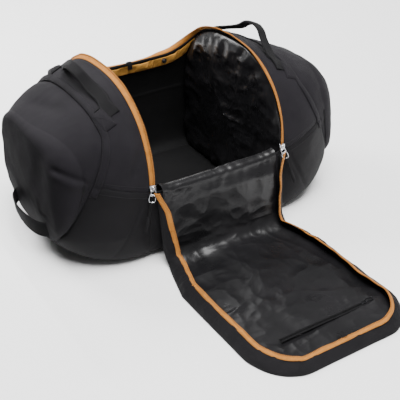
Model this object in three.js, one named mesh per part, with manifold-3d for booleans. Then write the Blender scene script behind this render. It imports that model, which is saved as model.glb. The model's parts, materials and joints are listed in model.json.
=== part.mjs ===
// Ski boot bag: a wide padded duffel with an arched top opening, a zipped pocket in each end and
// a front flap that folds down to the floor as a mat. Millimetres, +Z up. The origin is the
// centre of the underside, +X runs to the right-hand end and the flap lies towards -Y.
import * as THREE from 'three';
import { mergeVertices } from 'three/addons/utils/BufferGeometryUtils.js';
import Module from 'manifold-3d';

const wasm = await Module();
wasm.setup();

// ---------------------------------------------------------------- driving dimensions
const OPENING_HALF = 184;      // the arches stand at x = -184 and x = 184
const END_X = 382;             // outer face of each end
const WALL = 4;                // padded fabric wall
const GAP = 0.35;              // clearance between touching pieces
const BASE_TOP = 6;            // height of the seam between base and walls
const WAIST = 185;             // height of the front fold and of the side seam
const BACK_TOP = 298;          // height of the rear edge of the opening

// cross-section where the arches stand, and at the ends
const CENTRE = { y: 12, half: 226, top: 400, bottom: -2, waist: 185, roundTop: 2.35, roundBase: 9 };
const END = { y: -12, half: 140, top: 308, bottom: 60, waist: 184, roundTop: 3.4, roundBase: 3.4 };

const RING_POINTS = 48;
const RIM_CHAMFER = 9;         // softens the edge of each end face

const POCKET_FOLD = 175;       // height where the end cover folds down
const POCKET_SEAM = [[259, 440], [266, 320], [335, POCKET_FOLD], [388, 70]];
const STORM_FLAP = 18;         // width of the flap that shelters the pocket zip

const ARCH_TAPE = 10;          // zip tape width over the opening
const BACK_TAPE_HEIGHT = 14;   // and outside its rear edge
const FACING_HEIGHT = 34;      // amber facing inside the rear edge
const SNAP_X = 105;            // the two press studs
const TAPE = 1.6;              // zip tape thickness

const HANDLE_X = 225;          // middle of each top handle
const HANDLE_WIDTH = 30;
const HANDLE_LEAN = 25;        // degrees outwards, square to the sloping fabric
const HANDLE_REACH = 79;       // half the length of the loop that swings
const HANDLE_MIDDLE = 7;       // y of the middle of the loop

const STRAP_HEIGHT = 92;       // middle height of each end strap
const STRAP_WIDTH = 40;
const STRAP_REACH = 60;        // half the length of the part that swings

const FLAP_PIVOT = { y: -219, z: WAIST };
const RISER_TILT = 7.5;        // degrees from plumb when it hangs open
const RISER_LENGTH = 186.6;
const MAT_LENGTHS = { rear: 165, middle: 150, front: 146 };
const RISER_HALF = 168;
const FOOT_HALF = 164;         // half width where the riser meets the floor
const MAT_HALF = 194;
const MAT_FULL_AT = 110;       // the mat reaches its full width this far from the foot
const RISER_PAD = 4;
const MAT_PAD = 6;
const LINER = 1;
const LINER_INSET = 16;        // from the edge of the panel
const POCKET_ZIP = { x: [-108, 126], y: [-54, -42], thickness: 0.55 };
const RIM_FABRIC = 31;         // slope length of the rim cloth around the flap
const RIM_SLOPE = 45;          // slope length including the zip tape
const RIM_PLY = 3;
const RIM_LEAN = 36;           // degrees above the mat along its sides
const RIM_LEAN_FAR = 26;       // and along its far edge

// ---------------------------------------------------------------- materials
const cloth = (color, roughness = 0.85) =>
  new THREE.MeshStandardMaterial({ color, roughness, metalness: 0 });
const OUTER = cloth(0x2b292d);
const BASE_CLOTH = cloth(0x222125);
const WEBBING = cloth(0x1d1d20);
const TARP = cloth(0x141416, 0.35);
const AMBER_TAPE = cloth(0xc4853f, 0.7);
const AMBER_LINING = cloth(0xb47a2c, 0.8);
const BINDING = cloth(0x18181a, 0.7);
const BOARD = new THREE.MeshStandardMaterial({ color: 0x2a2a2c, roughness: 0.6, metalness: 0 });
const STEEL = new THREE.MeshStandardMaterial({ color: 0xb6b9bd, roughness: 0.3, metalness: 0.9 });
const SNAP = new THREE.MeshStandardMaterial({ color: 0x101012, roughness: 0.4, metalness: 0.6 });

// ---------------------------------------------------------------- solid helpers
function toSolid(geometry) {
  const bare = new THREE.BufferGeometry();
  bare.setAttribute('position', geometry.getAttribute('position').clone());
  if (geometry.index) bare.setIndex(geometry.index.clone());
  const merged = mergeVertices(bare, 1e-4);
  return new wasm.Manifold(new wasm.Mesh({
    numProp: 3,
    vertProperties: new Float32Array(merged.getAttribute('position').array),
    triVerts: new Uint32Array(merged.index.array),
  }));
}

function toGeometry(solid) {
  const mesh = solid.getMesh();
  const geometry = new THREE.BufferGeometry();
  geometry.setAttribute('position', new THREE.BufferAttribute(new Float32Array(mesh.vertProperties), 3));
  geometry.setIndex(new THREE.BufferAttribute(new Uint32Array(mesh.triVerts), 1));
  geometry.computeVertexNormals();
  return geometry;
}

function signedVolume(points, faces) {
  let total = 0;
  for (const [a, b, c] of faces) {
    total += points[a].dot(new THREE.Vector3().crossVectors(points[b], points[c]));
  }
  return total / 6;
}

// A closed body through rings of equal point count, each ring convex.
function loft(rings) {
  const count = rings[0].length;
  const points = rings.flat();
  const faces = [];
  for (let r = 0; r + 1 < rings.length; r++) {
    for (let i = 0; i < count; i++) {
      const a = r * count + i;
      const b = r * count + (i + 1) % count;
      faces.push([a, b, a + count], [b, b + count, a + count]);
    }
  }
  for (const [ring, start, flip] of [[rings[0], 0, true], [rings.at(-1), points.length - count, false]]) {
    const centre = ring.reduce((sum, p) => sum.add(p), new THREE.Vector3()).divideScalar(count);
    const hub = points.push(centre) - 1;
    for (let i = 0; i < count; i++) {
      const a = start + i;
      const b = start + (i + 1) % count;
      faces.push(flip ? [b, a, hub] : [a, b, hub]);
    }
  }
  const outward = signedVolume(points, faces) > 0;
  const geometry = new THREE.BufferGeometry();
  geometry.setAttribute('position', new THREE.Float32BufferAttribute(points.flatMap((p) => p.toArray()), 3));
  geometry.setIndex(faces.flatMap(([a, b, c]) => (outward ? [a, b, c] : [a, c, b])));
  return toSolid(geometry);
}

// An outline drawn square to one axis and extruded along it. The outline is (y, z) for x,
// (x, z) for y and (x, y) for z.
function prism(axis, outline, from, to) {
  const shape = new THREE.Shape(outline.map(([a, b]) => new THREE.Vector2(a, b)));
  const geometry = new THREE.ExtrudeGeometry(shape, { depth: to - from, bevelEnabled: false });
  const [x, y, z] = [new THREE.Vector3(1, 0, 0), new THREE.Vector3(0, 1, 0), new THREE.Vector3(0, 0, 1)];
  const turn = new THREE.Matrix4();
  if (axis === 'x') {
    turn.makeBasis(y, z, x).setPosition(from, 0, 0);
  } else if (axis === 'y') {
    turn.makeBasis(x, z, y.clone().negate()).setPosition(0, to, 0);
  } else {
    turn.setPosition(0, 0, from);
  }
  return toSolid(geometry.applyMatrix4(turn));
}

const box = (x0, x1, y0, y1, z0, z1) => prism('z', [[x0, y0], [x1, y0], [x1, y1], [x0, y1]], z0, z1);

// A strip of even thickness along a curve, as an outline for prism().
function ribbon(curve, thickness) {
  const sides = [[], []];
  curve.forEach((p, i) => {
    const before = curve[Math.max(i - 1, 0)];
    const after = curve[Math.min(i + 1, curve.length - 1)];
    const length = Math.hypot(after[0] - before[0], after[1] - before[1]);
    const normal = [-(after[1] - before[1]) / length, (after[0] - before[0]) / length];
    [0.5, -0.5].forEach((k, side) => {
      sides[side].push([p[0] + normal[0] * thickness * k, p[1] + normal[1] * thickness * k]);
    });
  });
  return [...sides[0], ...sides[1].reverse()];
}

// ---------------------------------------------------------------- the bag's outer form
const mix = (a, b, k) => a + (b - a) * k;
const power = (value, exponent) => Math.sign(value) * Math.abs(value) ** exponent;

// The cross-section at distance x from the middle: constant between the arches, then tapering.
function section(x) {
  const s = Math.min(Math.max((Math.abs(x) - OPENING_HALF) / (END_X - OPENING_HALF), 0), 1);
  return {
    y: mix(CENTRE.y, END.y, s),
    half: mix(CENTRE.half, END.half, s ** 2),
    top: mix(CENTRE.top, END.top, s ** 0.9),
    bottom: mix(CENTRE.bottom, END.bottom, s ** 3.6),
    waist: mix(CENTRE.waist, END.waist, s),
    roundTop: mix(CENTRE.roundTop, END.roundTop, s),
    roundBase: mix(CENTRE.roundBase, END.roundBase, s),
  };
}

// Point (y, z) of the section at angle t: 0 is the back, 90 the top, 180 the front, 270 the base.
function sectionPoint(x, inset, t) {
  const c = section(x);
  const [cos, sin] = [Math.cos(THREE.MathUtils.degToRad(t)), Math.sin(THREE.MathUtils.degToRad(t))];
  const round = 2 / (sin >= 0 ? c.roundTop : c.roundBase);
  const height = sin >= 0 ? c.top - c.waist - inset : c.waist - c.bottom - inset;
  return [c.y + (c.half - inset) * power(cos, round), c.waist + height * power(sin, round)];
}

function profile(x, inset, from, to, steps) {
  const points = [];
  for (let i = 0; i <= steps; i++) {
    points.push(sectionPoint(x, inset, mix(from, to, i / steps)));
  }
  return points;
}

// A closed ring of the section at x, flat where it rests on the floor. Its shape can come from
// another distance.
function formRing(x, inset, shape = x) {
  const points = profile(shape, inset, 0, 360 - 360 / RING_POINTS, RING_POINTS - 1);
  return points.map(([y, z]) => new THREE.Vector3(x, y, Math.max(z, inset)));
}

// One end of the bag as a solid; a negative inset makes it larger.
function endForm(side, inset, from = OPENING_HALF + GAP) {
  const rings = [from, 200, 222, 248, 275, 302, 328, 352, 372].map((x) => formRing(side * x, inset));
  rings.push(formRing(side * (END_X - inset), inset + RIM_CHAMFER));
  return loft(rings);
}

const mirror = (outline, side) => outline.map(([x, z]) => [side * x, z]);

function ordered(outline) {
  return THREE.ShapeUtils.isClockWise(outline.map(([a, b]) => new THREE.Vector2(a, b)))
    ? [...outline].reverse()
    : outline;
}

const REACH_Y = 320;           // longer than the bag is deep, for cutting prisms
const REACH_Z = 500;           // and taller
const cutter = (side, outline) => prism('y', ordered(mirror(outline, side)), -REACH_Y, REACH_Y);

// ---------------------------------------------------------------- assembling
const bag = new THREE.Group();

function add(group, name, solid, material) {
  const mesh = new THREE.Mesh(toGeometry(solid), material);
  mesh.name = name;
  group.add(mesh);
}

// ---------------------------------------------------------------- centre of the bag
function addCentre() {
  const half = OPENING_HALF - GAP / 2;
  const past = half + 9;       // so that the hollow runs out through both ends
  const tube = loft([formRing(-half, 0), formRing(half, 0)])
    .subtract(loft([formRing(-past, WALL, 0), formRing(past, WALL, 0)]));
  const wallFoot = BASE_TOP + GAP;
  const front = (z0, z1) => box(-half, half, -REACH_Y, -100, z0, z1);
  const back = (z0, z1) => box(-half, half, 100, REACH_Y, z0, z1);
  add(bag, 'base_panel', tube.intersect(box(-half, half, -REACH_Y, REACH_Y, -1, BASE_TOP)), BASE_CLOTH);
  add(bag, 'front_wall', tube.intersect(front(wallFoot, WAIST)), BASE_CLOTH);
  add(bag, 'back_wall', tube.intersect(back(wallFoot, BACK_TOP)), OUTER);
  add(bag, 'base_stiffener', box(-172, 172, -124, 148, WALL + 1, WALL + 4), BOARD);

  const facingCurve = profile(0, WALL + GAP + 0.7, 14, 28, 8);
  const facing = prism('x', ribbon(facingCurve, 1.2), -170, 170);
  add(bag, 'back_facing', facing.intersect(back(BACK_TOP - FACING_HEIGHT, BACK_TOP - 1)), AMBER_LINING);
  addSnap('back_snap_left', -SNAP_X);
  addSnap('back_snap_right', SNAP_X);

  const tapeCurve = profile(0, -GAP - TAPE / 2, 18, 28, 6);
  const tape = prism('x', ribbon(tapeCurve, TAPE), -half, half);
  add(bag, 'back_zip_tape', tape.intersect(back(BACK_TOP - BACK_TAPE_HEIGHT, BACK_TOP)), AMBER_TAPE);

  const [tabFoot, tabTop] = [BACK_TOP + GAP, BACK_TOP + 9];
  const tabOutline = [[208, tabFoot], [222, tabFoot], [219, tabTop], [211, tabTop]];
  add(bag, 'back_tab', prism('x', tabOutline, -7, 7), BINDING);
  add(bag, 'fold_binding', box(-176, 176, -212.6, -208.6, WAIST + GAP, WAIST + 3), BINDING);
}

// A press stud on the inside of the rear edge, its cap facing the opening.
function addSnap(name, x) {
  const seat = sectionPoint(0, WALL + GAP + 1.3, 23.5);
  const turned = [[0, 0.4], [7, 0.4], [7, 1.8], [5.5, 2.8], [0, 2.8]];
  const stud = new THREE.LatheGeometry(turned.map(([r, h]) => new THREE.Vector2(r, h)), 20);
  stud.rotateX(THREE.MathUtils.degToRad(180 + 16));
  stud.translate(x, seat[0] - 0.6, seat[1]);
  add(bag, name, toSolid(stud), SNAP);
}

// ---------------------------------------------------------------- the two ends
function addEnd(side, name) {
  const outer = endForm(side, 0);
  const shell = outer.subtract(endForm(side, WALL, OPENING_HALF - 6));
  const [top, over, fold, corner] = POCKET_SEAM;
  const g = GAP / 2;
  const seamAtWaist = fold[0] - (WAIST - fold[1]) * (fold[0] - over[0]) / (over[1] - fold[1]);
  const [near, far] = [OPENING_HALF - 14, END_X + 40];

  const gusset = [[near, WAIST + g], [seamAtWaist - g, WAIST + g], [over[0] - g, over[1]],
    [top[0] - g, top[1]], [near, top[1]]];
  const cover = [[top[0] + g, top[1]], [over[0] + g, over[1]], [fold[0] + g, fold[1] + g],
    [far, fold[1] + g], [far, top[1]]];
  const endBase = [[fold[0] + g, fold[1] - g], [corner[0] + g, corner[1]], [far, 40], [far, fold[1] - g]];
  const lower = [[near, -5], [far, -5], [far, 38], [corner[0] - g, corner[1]], [fold[0] - g, fold[1]],
    [seamAtWaist - g, WAIST - g], [near, WAIST - g]];
  add(bag, `${name}_gusset`, shell.intersect(cutter(side, gusset)), OUTER);
  add(bag, `${name}_end_cover`, shell.intersect(cutter(side, cover)), OUTER);
  const strap = endStrap(side);
  const sewn = strap.feet.subtract(endForm(side, WALL / 2, OPENING_HALF)).intersect(cutter(side, endBase));
  add(bag, `${name}_end_base`, shell.intersect(cutter(side, endBase)).add(sewn), OUTER);
  add(bag, `${name}_end_strap`, strap.loop, WEBBING);
  add(bag, `${name}_lower_shell`, shell.intersect(cutter(side, lower)), BASE_CLOTH);

  addPartition(side, name);
  addArchTape(side, name);
  addStormFlap(side, name);
  addTopHandle(side, name);
  addMainSlider(side, name);
  addPocketSlider(side, name);
}

// The tarpaulin wall between the boot compartment and the end pocket.
function addPartition(side, name) {
  const lowest = BASE_TOP + GAP * 2 + 1;
  const ring = profile(OPENING_HALF, WALL + GAP + 0.7, 0, 354, 59);
  const outline = ring.map(([y, z]) => [y, Math.max(z, lowest)]);
  const panel = prism('x', ordered(outline), OPENING_HALF - 6, OPENING_HALF - 3);
  add(bag, `${name}_partition`, side > 0 ? panel : panel.mirror([1, 0, 0]), TARP);
}

function addArchTape(side, name) {
  const curve = profile(OPENING_HALF, TAPE / 2 + 0.4, 179.6, 30, 56);
  const [x0, x1] = [OPENING_HALF - ARCH_TAPE, OPENING_HALF];
  const across = [side * x0, side * x1].sort((a, b) => a - b);
  const tape = prism('x', ribbon(curve, TAPE), ...across);
  add(bag, `${name}_arch_zip_tape`, tape, AMBER_TAPE);
}

function addStormFlap(side, name) {
  const [top, over, fold] = POCKET_SEAM;
  const slant = 1.12;          // the seam leans, so a shift in x is wider than the flap
  const edge = (shift) => [
    [top[0] - shift, top[1]],
    [over[0] - shift, over[1]],
    [fold[0] - shift * slant, fold[1]],
  ];
  const strip = [...edge(STORM_FLAP), ...edge(1).reverse()];
  const skin = endForm(side, -2.4, OPENING_HALF - 6).subtract(endForm(side, -0.4, OPENING_HALF - 12));
  add(bag, `${name}_storm_flap`, skin.intersect(cutter(side, strip)), OUTER);
}

// ---------------------------------------------------------------- handles
function addTopHandle(side, name) {
  const surface = (y) => {
    const c = section(HANDLE_X);
    const drop = 1 - Math.abs((y - c.y) / c.half) ** c.roundTop;
    return c.waist + (c.top - c.waist) * drop ** (1 / c.roundTop);
  };
  const [near, far] = [HANDLE_MIDDLE - HANDLE_REACH, HANDLE_MIDDLE + HANDLE_REACH];
  // How far each foot lies outside the loop, and how high it stands off the cloth there.
  const rise = [[62, 1.2], [48, 4], [34, 11], [0, 20]];
  const front = rise.map(([out, up]) => [near - out, surface(near - out) + up]);
  const rear = rise.map(([out, up]) => [far + out, surface(far + out) + up]);
  const loopPoints = [...front, [-45, 398], [-20, 413], [HANDLE_MIDDLE, 418], [34, 413], [59, 397],
    ...rear.reverse()];
  const curve = new THREE.CatmullRomCurve3(loopPoints.map(([y, z]) => new THREE.Vector3(0, y, z)));
  const path = curve.getSpacedPoints(40).map((p) => [p.y, p.z]);
  const flat = prism('x', ordered(ribbon(path, 3)), -HANDLE_WIDTH / 2, HANDLE_WIDTH / 2);
  const pivot = surface(HANDLE_MIDDLE);
  const strip = flat.translate([0, 0, -pivot]).rotate([0, side * HANDLE_LEAN, 0])
    .translate([side * HANDLE_X, 0, pivot]);

  const slab = (y0, y1) => box(-END_X, END_X, y0, y1, WAIST, REACH_Z);
  add(bag, `${name}_top_handle`, strip.intersect(slab(near, far)), WEBBING);

  const skin = endForm(side, -3, OPENING_HALF - 6).subtract(endForm(side, -0.4, OPENING_HALF - 12));
  const [x0, x1] = [side * (HANDLE_X - 11), side * (HANDLE_X + 11)];
  const clear = endForm(side, -0.4, OPENING_HALF - 12);
  for (const [end, y0, y1, cut] of [
    ['front', near - 74, near - 34, slab(-REACH_Y, near - GAP)],
    ['rear', far + 34, far + 74, slab(far + GAP, REACH_Y)],
  ]) {
    const patch = skin.intersect(box(Math.min(x0, x1), Math.max(x0, x1), y0, y1, WAIST, REACH_Z));
    const foot = strip.intersect(cut).subtract(clear);
    add(bag, `${name}_handle_${end}_anchor`, patch.add(foot), WEBBING);
  }
}

// A wide grab strap that bows out from the foot of the end. Its two feet are sewn down and its
// middle is free to swing.
function endStrap(side) {
  const points = [[378, -104], [387, -92], [396, -78], [402, -60], [406, -30], [407, -4],
    [406, 22], [402, 52], [396, 70], [387, 82], [378, 92]];
  const curve = new THREE.CatmullRomCurve3(points.map(([x, y]) => new THREE.Vector3(x, y, 0)));
  const path = curve.getSpacedPoints(32).map((p) => [side * p.x, p.y]);
  const [low, high] = [STRAP_HEIGHT - STRAP_WIDTH / 2, STRAP_HEIGHT + STRAP_WIDTH / 2];
  const strip = prism('z', ordered(ribbon(path, 3)), low, high);
  const middle = -5;
  const slab = (y0, y1) => box(-END_X - 40, END_X + 40, y0, y1, 0, 200);
  return {
    loop: strip.intersect(slab(middle - STRAP_REACH, middle + STRAP_REACH)),
    feet: strip.subtract(slab(middle - STRAP_REACH - GAP, middle + STRAP_REACH + GAP)),
  };
}

// ---------------------------------------------------------------- zip sliders
const SLIDER_X = 178;
const SLIDER_FRONT = -214.8;   // just clear of the arch tape

function addMainSlider(side, name) {
  const slider = new THREE.Group();
  slider.position.set(side * SLIDER_X, SLIDER_FRONT, 196);
  bag.add(slider);
  const body = prism('x', [[0, -8], [0, 8], [-3.2, 8], [-5, 4], [-5, -5], [-3.6, -8]], -6, 6);
  add(slider, `${name}_main_slider`, body, STEEL);

  const bar = (y0, z0, z1) => box(-4, 4, y0 - 1.2, y0, z0, z1);
  const holes = box(-2.4, 2.4, -20, 20, -13.5, -7.5).add(box(-2.4, 2.4, -20, 20, -27, -16.5));
  const pull = bar(-5.4, -30, -5).subtract(holes);
  add(slider, `${name}_slider_pull`, pull, STEEL);

  const cord = box(-1.6, 1.6, -7.9, -6.9, -86, -22).add(box(-3.6, 3.6, -8.6, -6.9, -90, -68));
  add(slider, `${name}_pull_tab`, cord, WEBBING);
}

// The end pocket's slider waits at the rear foot of its zip.
function addPocketSlider(side, name) {
  const [x, z] = [349, 163];
  const y = section(x).y + section(x).half + 4.2;
  const slider = new THREE.Group();
  slider.position.set(side * x, y, z);
  bag.add(slider);
  const body = prism('x', [[0, -7], [3, -7], [4, -3], [4, 3], [3, 7], [0, 7]], -5, 5);
  add(slider, `${name}_pocket_slider`, body, STEEL);
}

// ---------------------------------------------------------------- the flap
// Rim cloth that leans in over the edge of a flap length drawn lying flat. Each stop on the path
// is { x, y, inward, grow, lean, mitre }: the mitre leans the strip's end back from a fold.
function rimStrip(path, root, from, to, lift, ply) {
  const rings = path.map(({ x, y, inward, grow, lean, mitre }) => {
    const [cos, sin] = [Math.cos(THREE.MathUtils.degToRad(lean)), Math.sin(THREE.MathUtils.degToRad(lean))];
    return [[from, lift], [to, lift], [to, lift + ply], [from, lift + ply]].map(([slope, out]) => {
      const along = slope * grow * cos - out * sin;
      const up = slope * grow * sin + out * cos;
      return new THREE.Vector3(x + inward[0] * along, y + inward[1] * along + mitre * up, root + up);
    });
  });
  return loft(rings);
}

function rimPieces(path, root) {
  return {
    fabric: rimStrip(path, root, 0, RIM_FABRIC, 0, RIM_PLY),
    tape: rimStrip(path, root, RIM_FABRIC + GAP, RIM_SLOPE, 0.6, TAPE),
  };
}

// One stiff length of the flap: padded panel with its side rims, liner and zip tapes.
function addFlapLength(group, name, spec) {
  const { start, end, pad, stops, mitreStart, mitreEnd } = spec;
  const sheet = (inset, z0, z1) => {
    const last = stops.length - 1;
    const edge = stops.map(({ at, half }, i) =>
      [half - inset, -(i === 0 ? start : i === last ? end : at)]);
    return prism('z', ordered([...edge, ...mirror(edge, -1).reverse()]), z0, z1);
  };
  let body = sheet(0, 0, pad);
  const tapes = {};
  for (const [side, word] of [[-1, 'left'], [1, 'right']]) {
    const path = stops.map(({ at, half, grow }, i) => ({
      x: side * half,
      y: -at,
      inward: [-side, 0],
      grow,
      lean: RIM_LEAN,
      mitre: i === 0 ? -mitreStart : i === stops.length - 1 ? mitreEnd : 0,
    }));
    const rim = rimPieces(path, pad - RIM_PLY);
    body = body.add(rim.fabric);
    tapes[word] = rim.tape;
  }
  add(group, name, body, OUTER);
  add(group, `${name}_liner`, sheet(LINER_INSET, pad + GAP, pad + GAP + LINER), TARP);
  for (const word of ['left', 'right']) {
    add(group, `${name}_${word}_zip_tape`, tapes[word], AMBER_TAPE);
  }
}

// The far length ends in rounded corners, so its rim and tape run round it in one piece.
function addFarLength(group, name) {
  const reach = MAT_LENGTHS.front;
  const outline = [[-MAT_HALF, -1], [-MAT_HALF, -42], [-190, -66], [-177, -98], [-158, -122],
    [-134, -138], [-108, -reach]];
  const right = outline.map(([x, y]) => [-x, y]).reverse();
  const whole = [...outline, ...right];
  const panel = prism('z', whole, 0, MAT_PAD);
  const path = whole.map(([x, y], i) => {
    const before = whole[Math.max(i - 1, 0)];
    const after = whole[Math.min(i + 1, whole.length - 1)];
    const step = Math.hypot(after[0] - before[0], after[1] - before[1]);
    const inward = [-(after[1] - before[1]) / step, (after[0] - before[0]) / step];
    const sideways = Math.abs(inward[0]);
    const atFold = i === 0 || i === whole.length - 1;
    return {
      x,
      y,
      inward,
      grow: mix(0.8, 1, sideways),
      lean: mix(RIM_LEAN_FAR, RIM_LEAN, sideways),
      mitre: atFold ? -FOLD_MITRE.front : 0,
    };
  });
  const rim = rimPieces(path, MAT_PAD - RIM_PLY);
  add(group, name, panel.add(rim.fabric), OUTER);
  add(group, `${name}_zip_tape`, rim.tape, AMBER_TAPE);
  const floor = MAT_PAD + GAP;
  const linerOutline = whole.map(([x, y]) => [x * 0.92, Math.max(y * 0.92, -reach + 14) - 2]);
  const liner = prism('z', linerOutline, floor, floor + LINER);
  add(group, `${name}_liner`, liner, TARP);

  const { x: [zipLeft, zipRight], y: [far, near], thickness } = POCKET_ZIP;
  const zipFoot = floor + LINER + GAP;
  add(group, 'flap_pocket_zip', box(zipLeft, zipRight, far, near, zipFoot, zipFoot + thickness), BINDING);
  const sliderBody = prism('x', [[far + 1, 0], [near - 1, 0], [near - 2, 3], [far + 2, 3]], 108, 121);
  add(group, 'flap_pocket_slider', sliderBody.translate([0, 0, zipFoot + 1.2]), SNAP);
  add(group, 'flap_tab', box(-9, 9, -113, -104.5, 16.5, 19), BINDING);
}

const tan = (degrees) => Math.tan(THREE.MathUtils.degToRad(degrees));
const CORNER_MITRE = tan((90 - RISER_TILT) / 2) + 0.04;
const FOLD_MITRE = { middle: tan(12) + 0.06, front: tan(15.5) + 0.06 };

function addFlap() {
  const riser = new THREE.Group();
  riser.position.set(0, FLAP_PIVOT.y, FLAP_PIVOT.z);
  riser.rotation.x = THREE.MathUtils.degToRad(90 - RISER_TILT);
  bag.add(riser);
  addFlapLength(riser, 'flap_riser', {
    start: 2, end: RISER_LENGTH - 1, pad: RISER_PAD,
    stops: [{ at: 6, half: RISER_HALF, grow: 0.25 }, { at: 60, half: RISER_HALF - 1, grow: 0.5 },
      { at: RISER_LENGTH - 1.5, half: FOOT_HALF, grow: 1 }],
    mitreStart: 0, mitreEnd: CORNER_MITRE,
  });

  const foot = FLAP_PIVOT.y - RISER_LENGTH * Math.sin(THREE.MathUtils.degToRad(RISER_TILT));
  const mat = new THREE.Group();
  mat.position.set(0, foot, 0);
  bag.add(mat);
  const full = (at) => ({ at, half: MAT_HALF, grow: 1 });
  const { rear, middle } = MAT_LENGTHS;
  addFlapLength(mat, 'mat_rear', {
    start: 6, end: rear - 0.5, pad: MAT_PAD,
    stops: [{ at: 4, half: FOOT_HALF, grow: 1 }, full(MAT_FULL_AT), full(rear - 1)],
    mitreStart: CORNER_MITRE, mitreEnd: FOLD_MITRE.middle,
  });
  addFlapLength(mat, 'mat_middle', {
    start: rear + 0.5, end: rear + middle - 0.5, pad: MAT_PAD,
    stops: [full(rear + 1), full(rear + middle - 1)],
    mitreStart: FOLD_MITRE.middle, mitreEnd: FOLD_MITRE.front,
  });
  const far = new THREE.Group();
  far.position.set(0, -rear - middle, 0);
  mat.add(far);
  addFarLength(far, 'mat_front');
}

addCentre();
addEnd(-1, 'left');
addEnd(1, 'right');
addFlap();

export default bag;
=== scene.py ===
import json
import math

import bmesh
import bpy
import numpy as np
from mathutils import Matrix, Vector
from mathutils.bvhtree import BVHTree


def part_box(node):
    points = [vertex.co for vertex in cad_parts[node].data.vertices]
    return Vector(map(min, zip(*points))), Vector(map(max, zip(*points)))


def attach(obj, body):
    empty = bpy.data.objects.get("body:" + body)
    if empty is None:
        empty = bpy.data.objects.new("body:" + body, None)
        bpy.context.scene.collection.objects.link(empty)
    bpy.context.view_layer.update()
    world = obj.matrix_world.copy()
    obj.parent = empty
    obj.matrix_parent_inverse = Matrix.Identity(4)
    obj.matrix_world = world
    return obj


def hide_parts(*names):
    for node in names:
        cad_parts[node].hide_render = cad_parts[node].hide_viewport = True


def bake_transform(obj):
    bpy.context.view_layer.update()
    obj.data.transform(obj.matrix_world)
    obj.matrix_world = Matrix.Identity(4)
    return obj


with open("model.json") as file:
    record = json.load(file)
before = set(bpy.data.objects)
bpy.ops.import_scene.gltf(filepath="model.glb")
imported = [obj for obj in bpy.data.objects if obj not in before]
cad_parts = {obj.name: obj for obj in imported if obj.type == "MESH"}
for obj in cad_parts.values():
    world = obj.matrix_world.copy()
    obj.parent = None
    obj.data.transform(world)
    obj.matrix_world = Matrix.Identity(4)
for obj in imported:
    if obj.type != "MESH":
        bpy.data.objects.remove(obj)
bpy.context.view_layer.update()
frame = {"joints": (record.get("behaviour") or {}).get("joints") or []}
JOINT = {joint["name"]: joint for joint in frame["joints"]}

# ------------------------------------------------------------------ sizes taken from the frame
ARCH_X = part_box("right_arch_zip_tape")[1].x          # the arches stand at x = -ARCH_X and ARCH_X
EDGE_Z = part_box("back_wall")[1].z                    # rear edge of the opening
END_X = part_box("right_end_cover")[1].x
FOLD = Vector(JOINT["flap_fold"]["pos_m"])           # line where the flap hangs from the bag
WAIST_Z = FOLD.z
FOOT = Vector(JOINT["mat_rear_fold"]["pos_m"])       # where the riser meets the floor
MAT_FOLDS = [Vector(JOINT[name]["pos_m"]) for name in ("mat_middle_fold", "mat_front_fold")]
COVER_Z = JOINT["right_end_cover_hinge"]["pos_m"][2]
STRAP_Z = JOINT["right_end_strap_swing"]["pos_m"][2]
HANDLE_X = 0.233
SIDES = (("left", -1), ("right", 1))

# the seam of each end pocket as (z, x), from the foot of the end up to its crown
SEAM = [(0.070, 0.388), (0.175, 0.335), (0.320, 0.266), (0.440, 0.259)]
CLOTH = 0.0028                                       # thickness of a padded wall as drawn
FLOOR_GAP = 0.0008                                   # the lowest that pushed cloth may lie
PARTITION_X = 0.1812                                 # plane that each partition sheet crumples about
FORM_MIDDLE = (0.0, 0.0, 0.17)                       # the bag's walls face away from this point
ACROSS = (1.0, 0.0, 0.0)


# ------------------------------------------------------------------ camera, floor and light
def add_object(name, data):
    made = bpy.data.objects.new(name, data)
    bpy.context.scene.collection.objects.link(made)
    return made


def aim(thing, direction):
    thing.rotation_euler = Vector(direction).to_track_quat("-Z", "Y").to_euler()


def add_camera():
    azimuth, elevation, distance = math.radians(-32.4), math.radians(32.2), 2.163
    target = Vector((0.036, -0.075, 0.018))
    back = Vector((
        math.sin(azimuth) * math.cos(elevation),
        -math.cos(azimuth) * math.cos(elevation),
        math.sin(elevation),
    ))
    camera = add_object("camera", bpy.data.cameras.new("camera"))
    camera.data.lens = 76.4
    camera.data.sensor_width = 36.0
    camera.location = target + back * distance
    aim(camera, -back)
    bpy.context.scene.camera = camera


def add_area_light(name, place, target, size, power):
    light = add_object(name, bpy.data.lights.new(name, "AREA"))
    light.data.shape = "DISK"
    light.data.size = size
    light.data.energy = power
    light.location = place
    aim(light, Vector(target) - Vector(place))


def add_board(name, corners, grey, roughness):
    """A flat painted board of the studio, which isn't part of the bag."""
    board = add_object(name, bpy.data.meshes.new(name))
    board.data.from_pydata(corners, [], [(0, 1, 2, 3)])
    paint = bpy.data.materials.new(f"{name}_paint")
    paint.use_nodes = True
    shader = paint.node_tree.nodes["Principled BSDF"]
    shader.inputs["Base Color"].default_value = (grey, grey, grey, 1)
    shader.inputs["Roughness"].default_value = roughness
    board.data.materials.append(paint)
    return board


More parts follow.
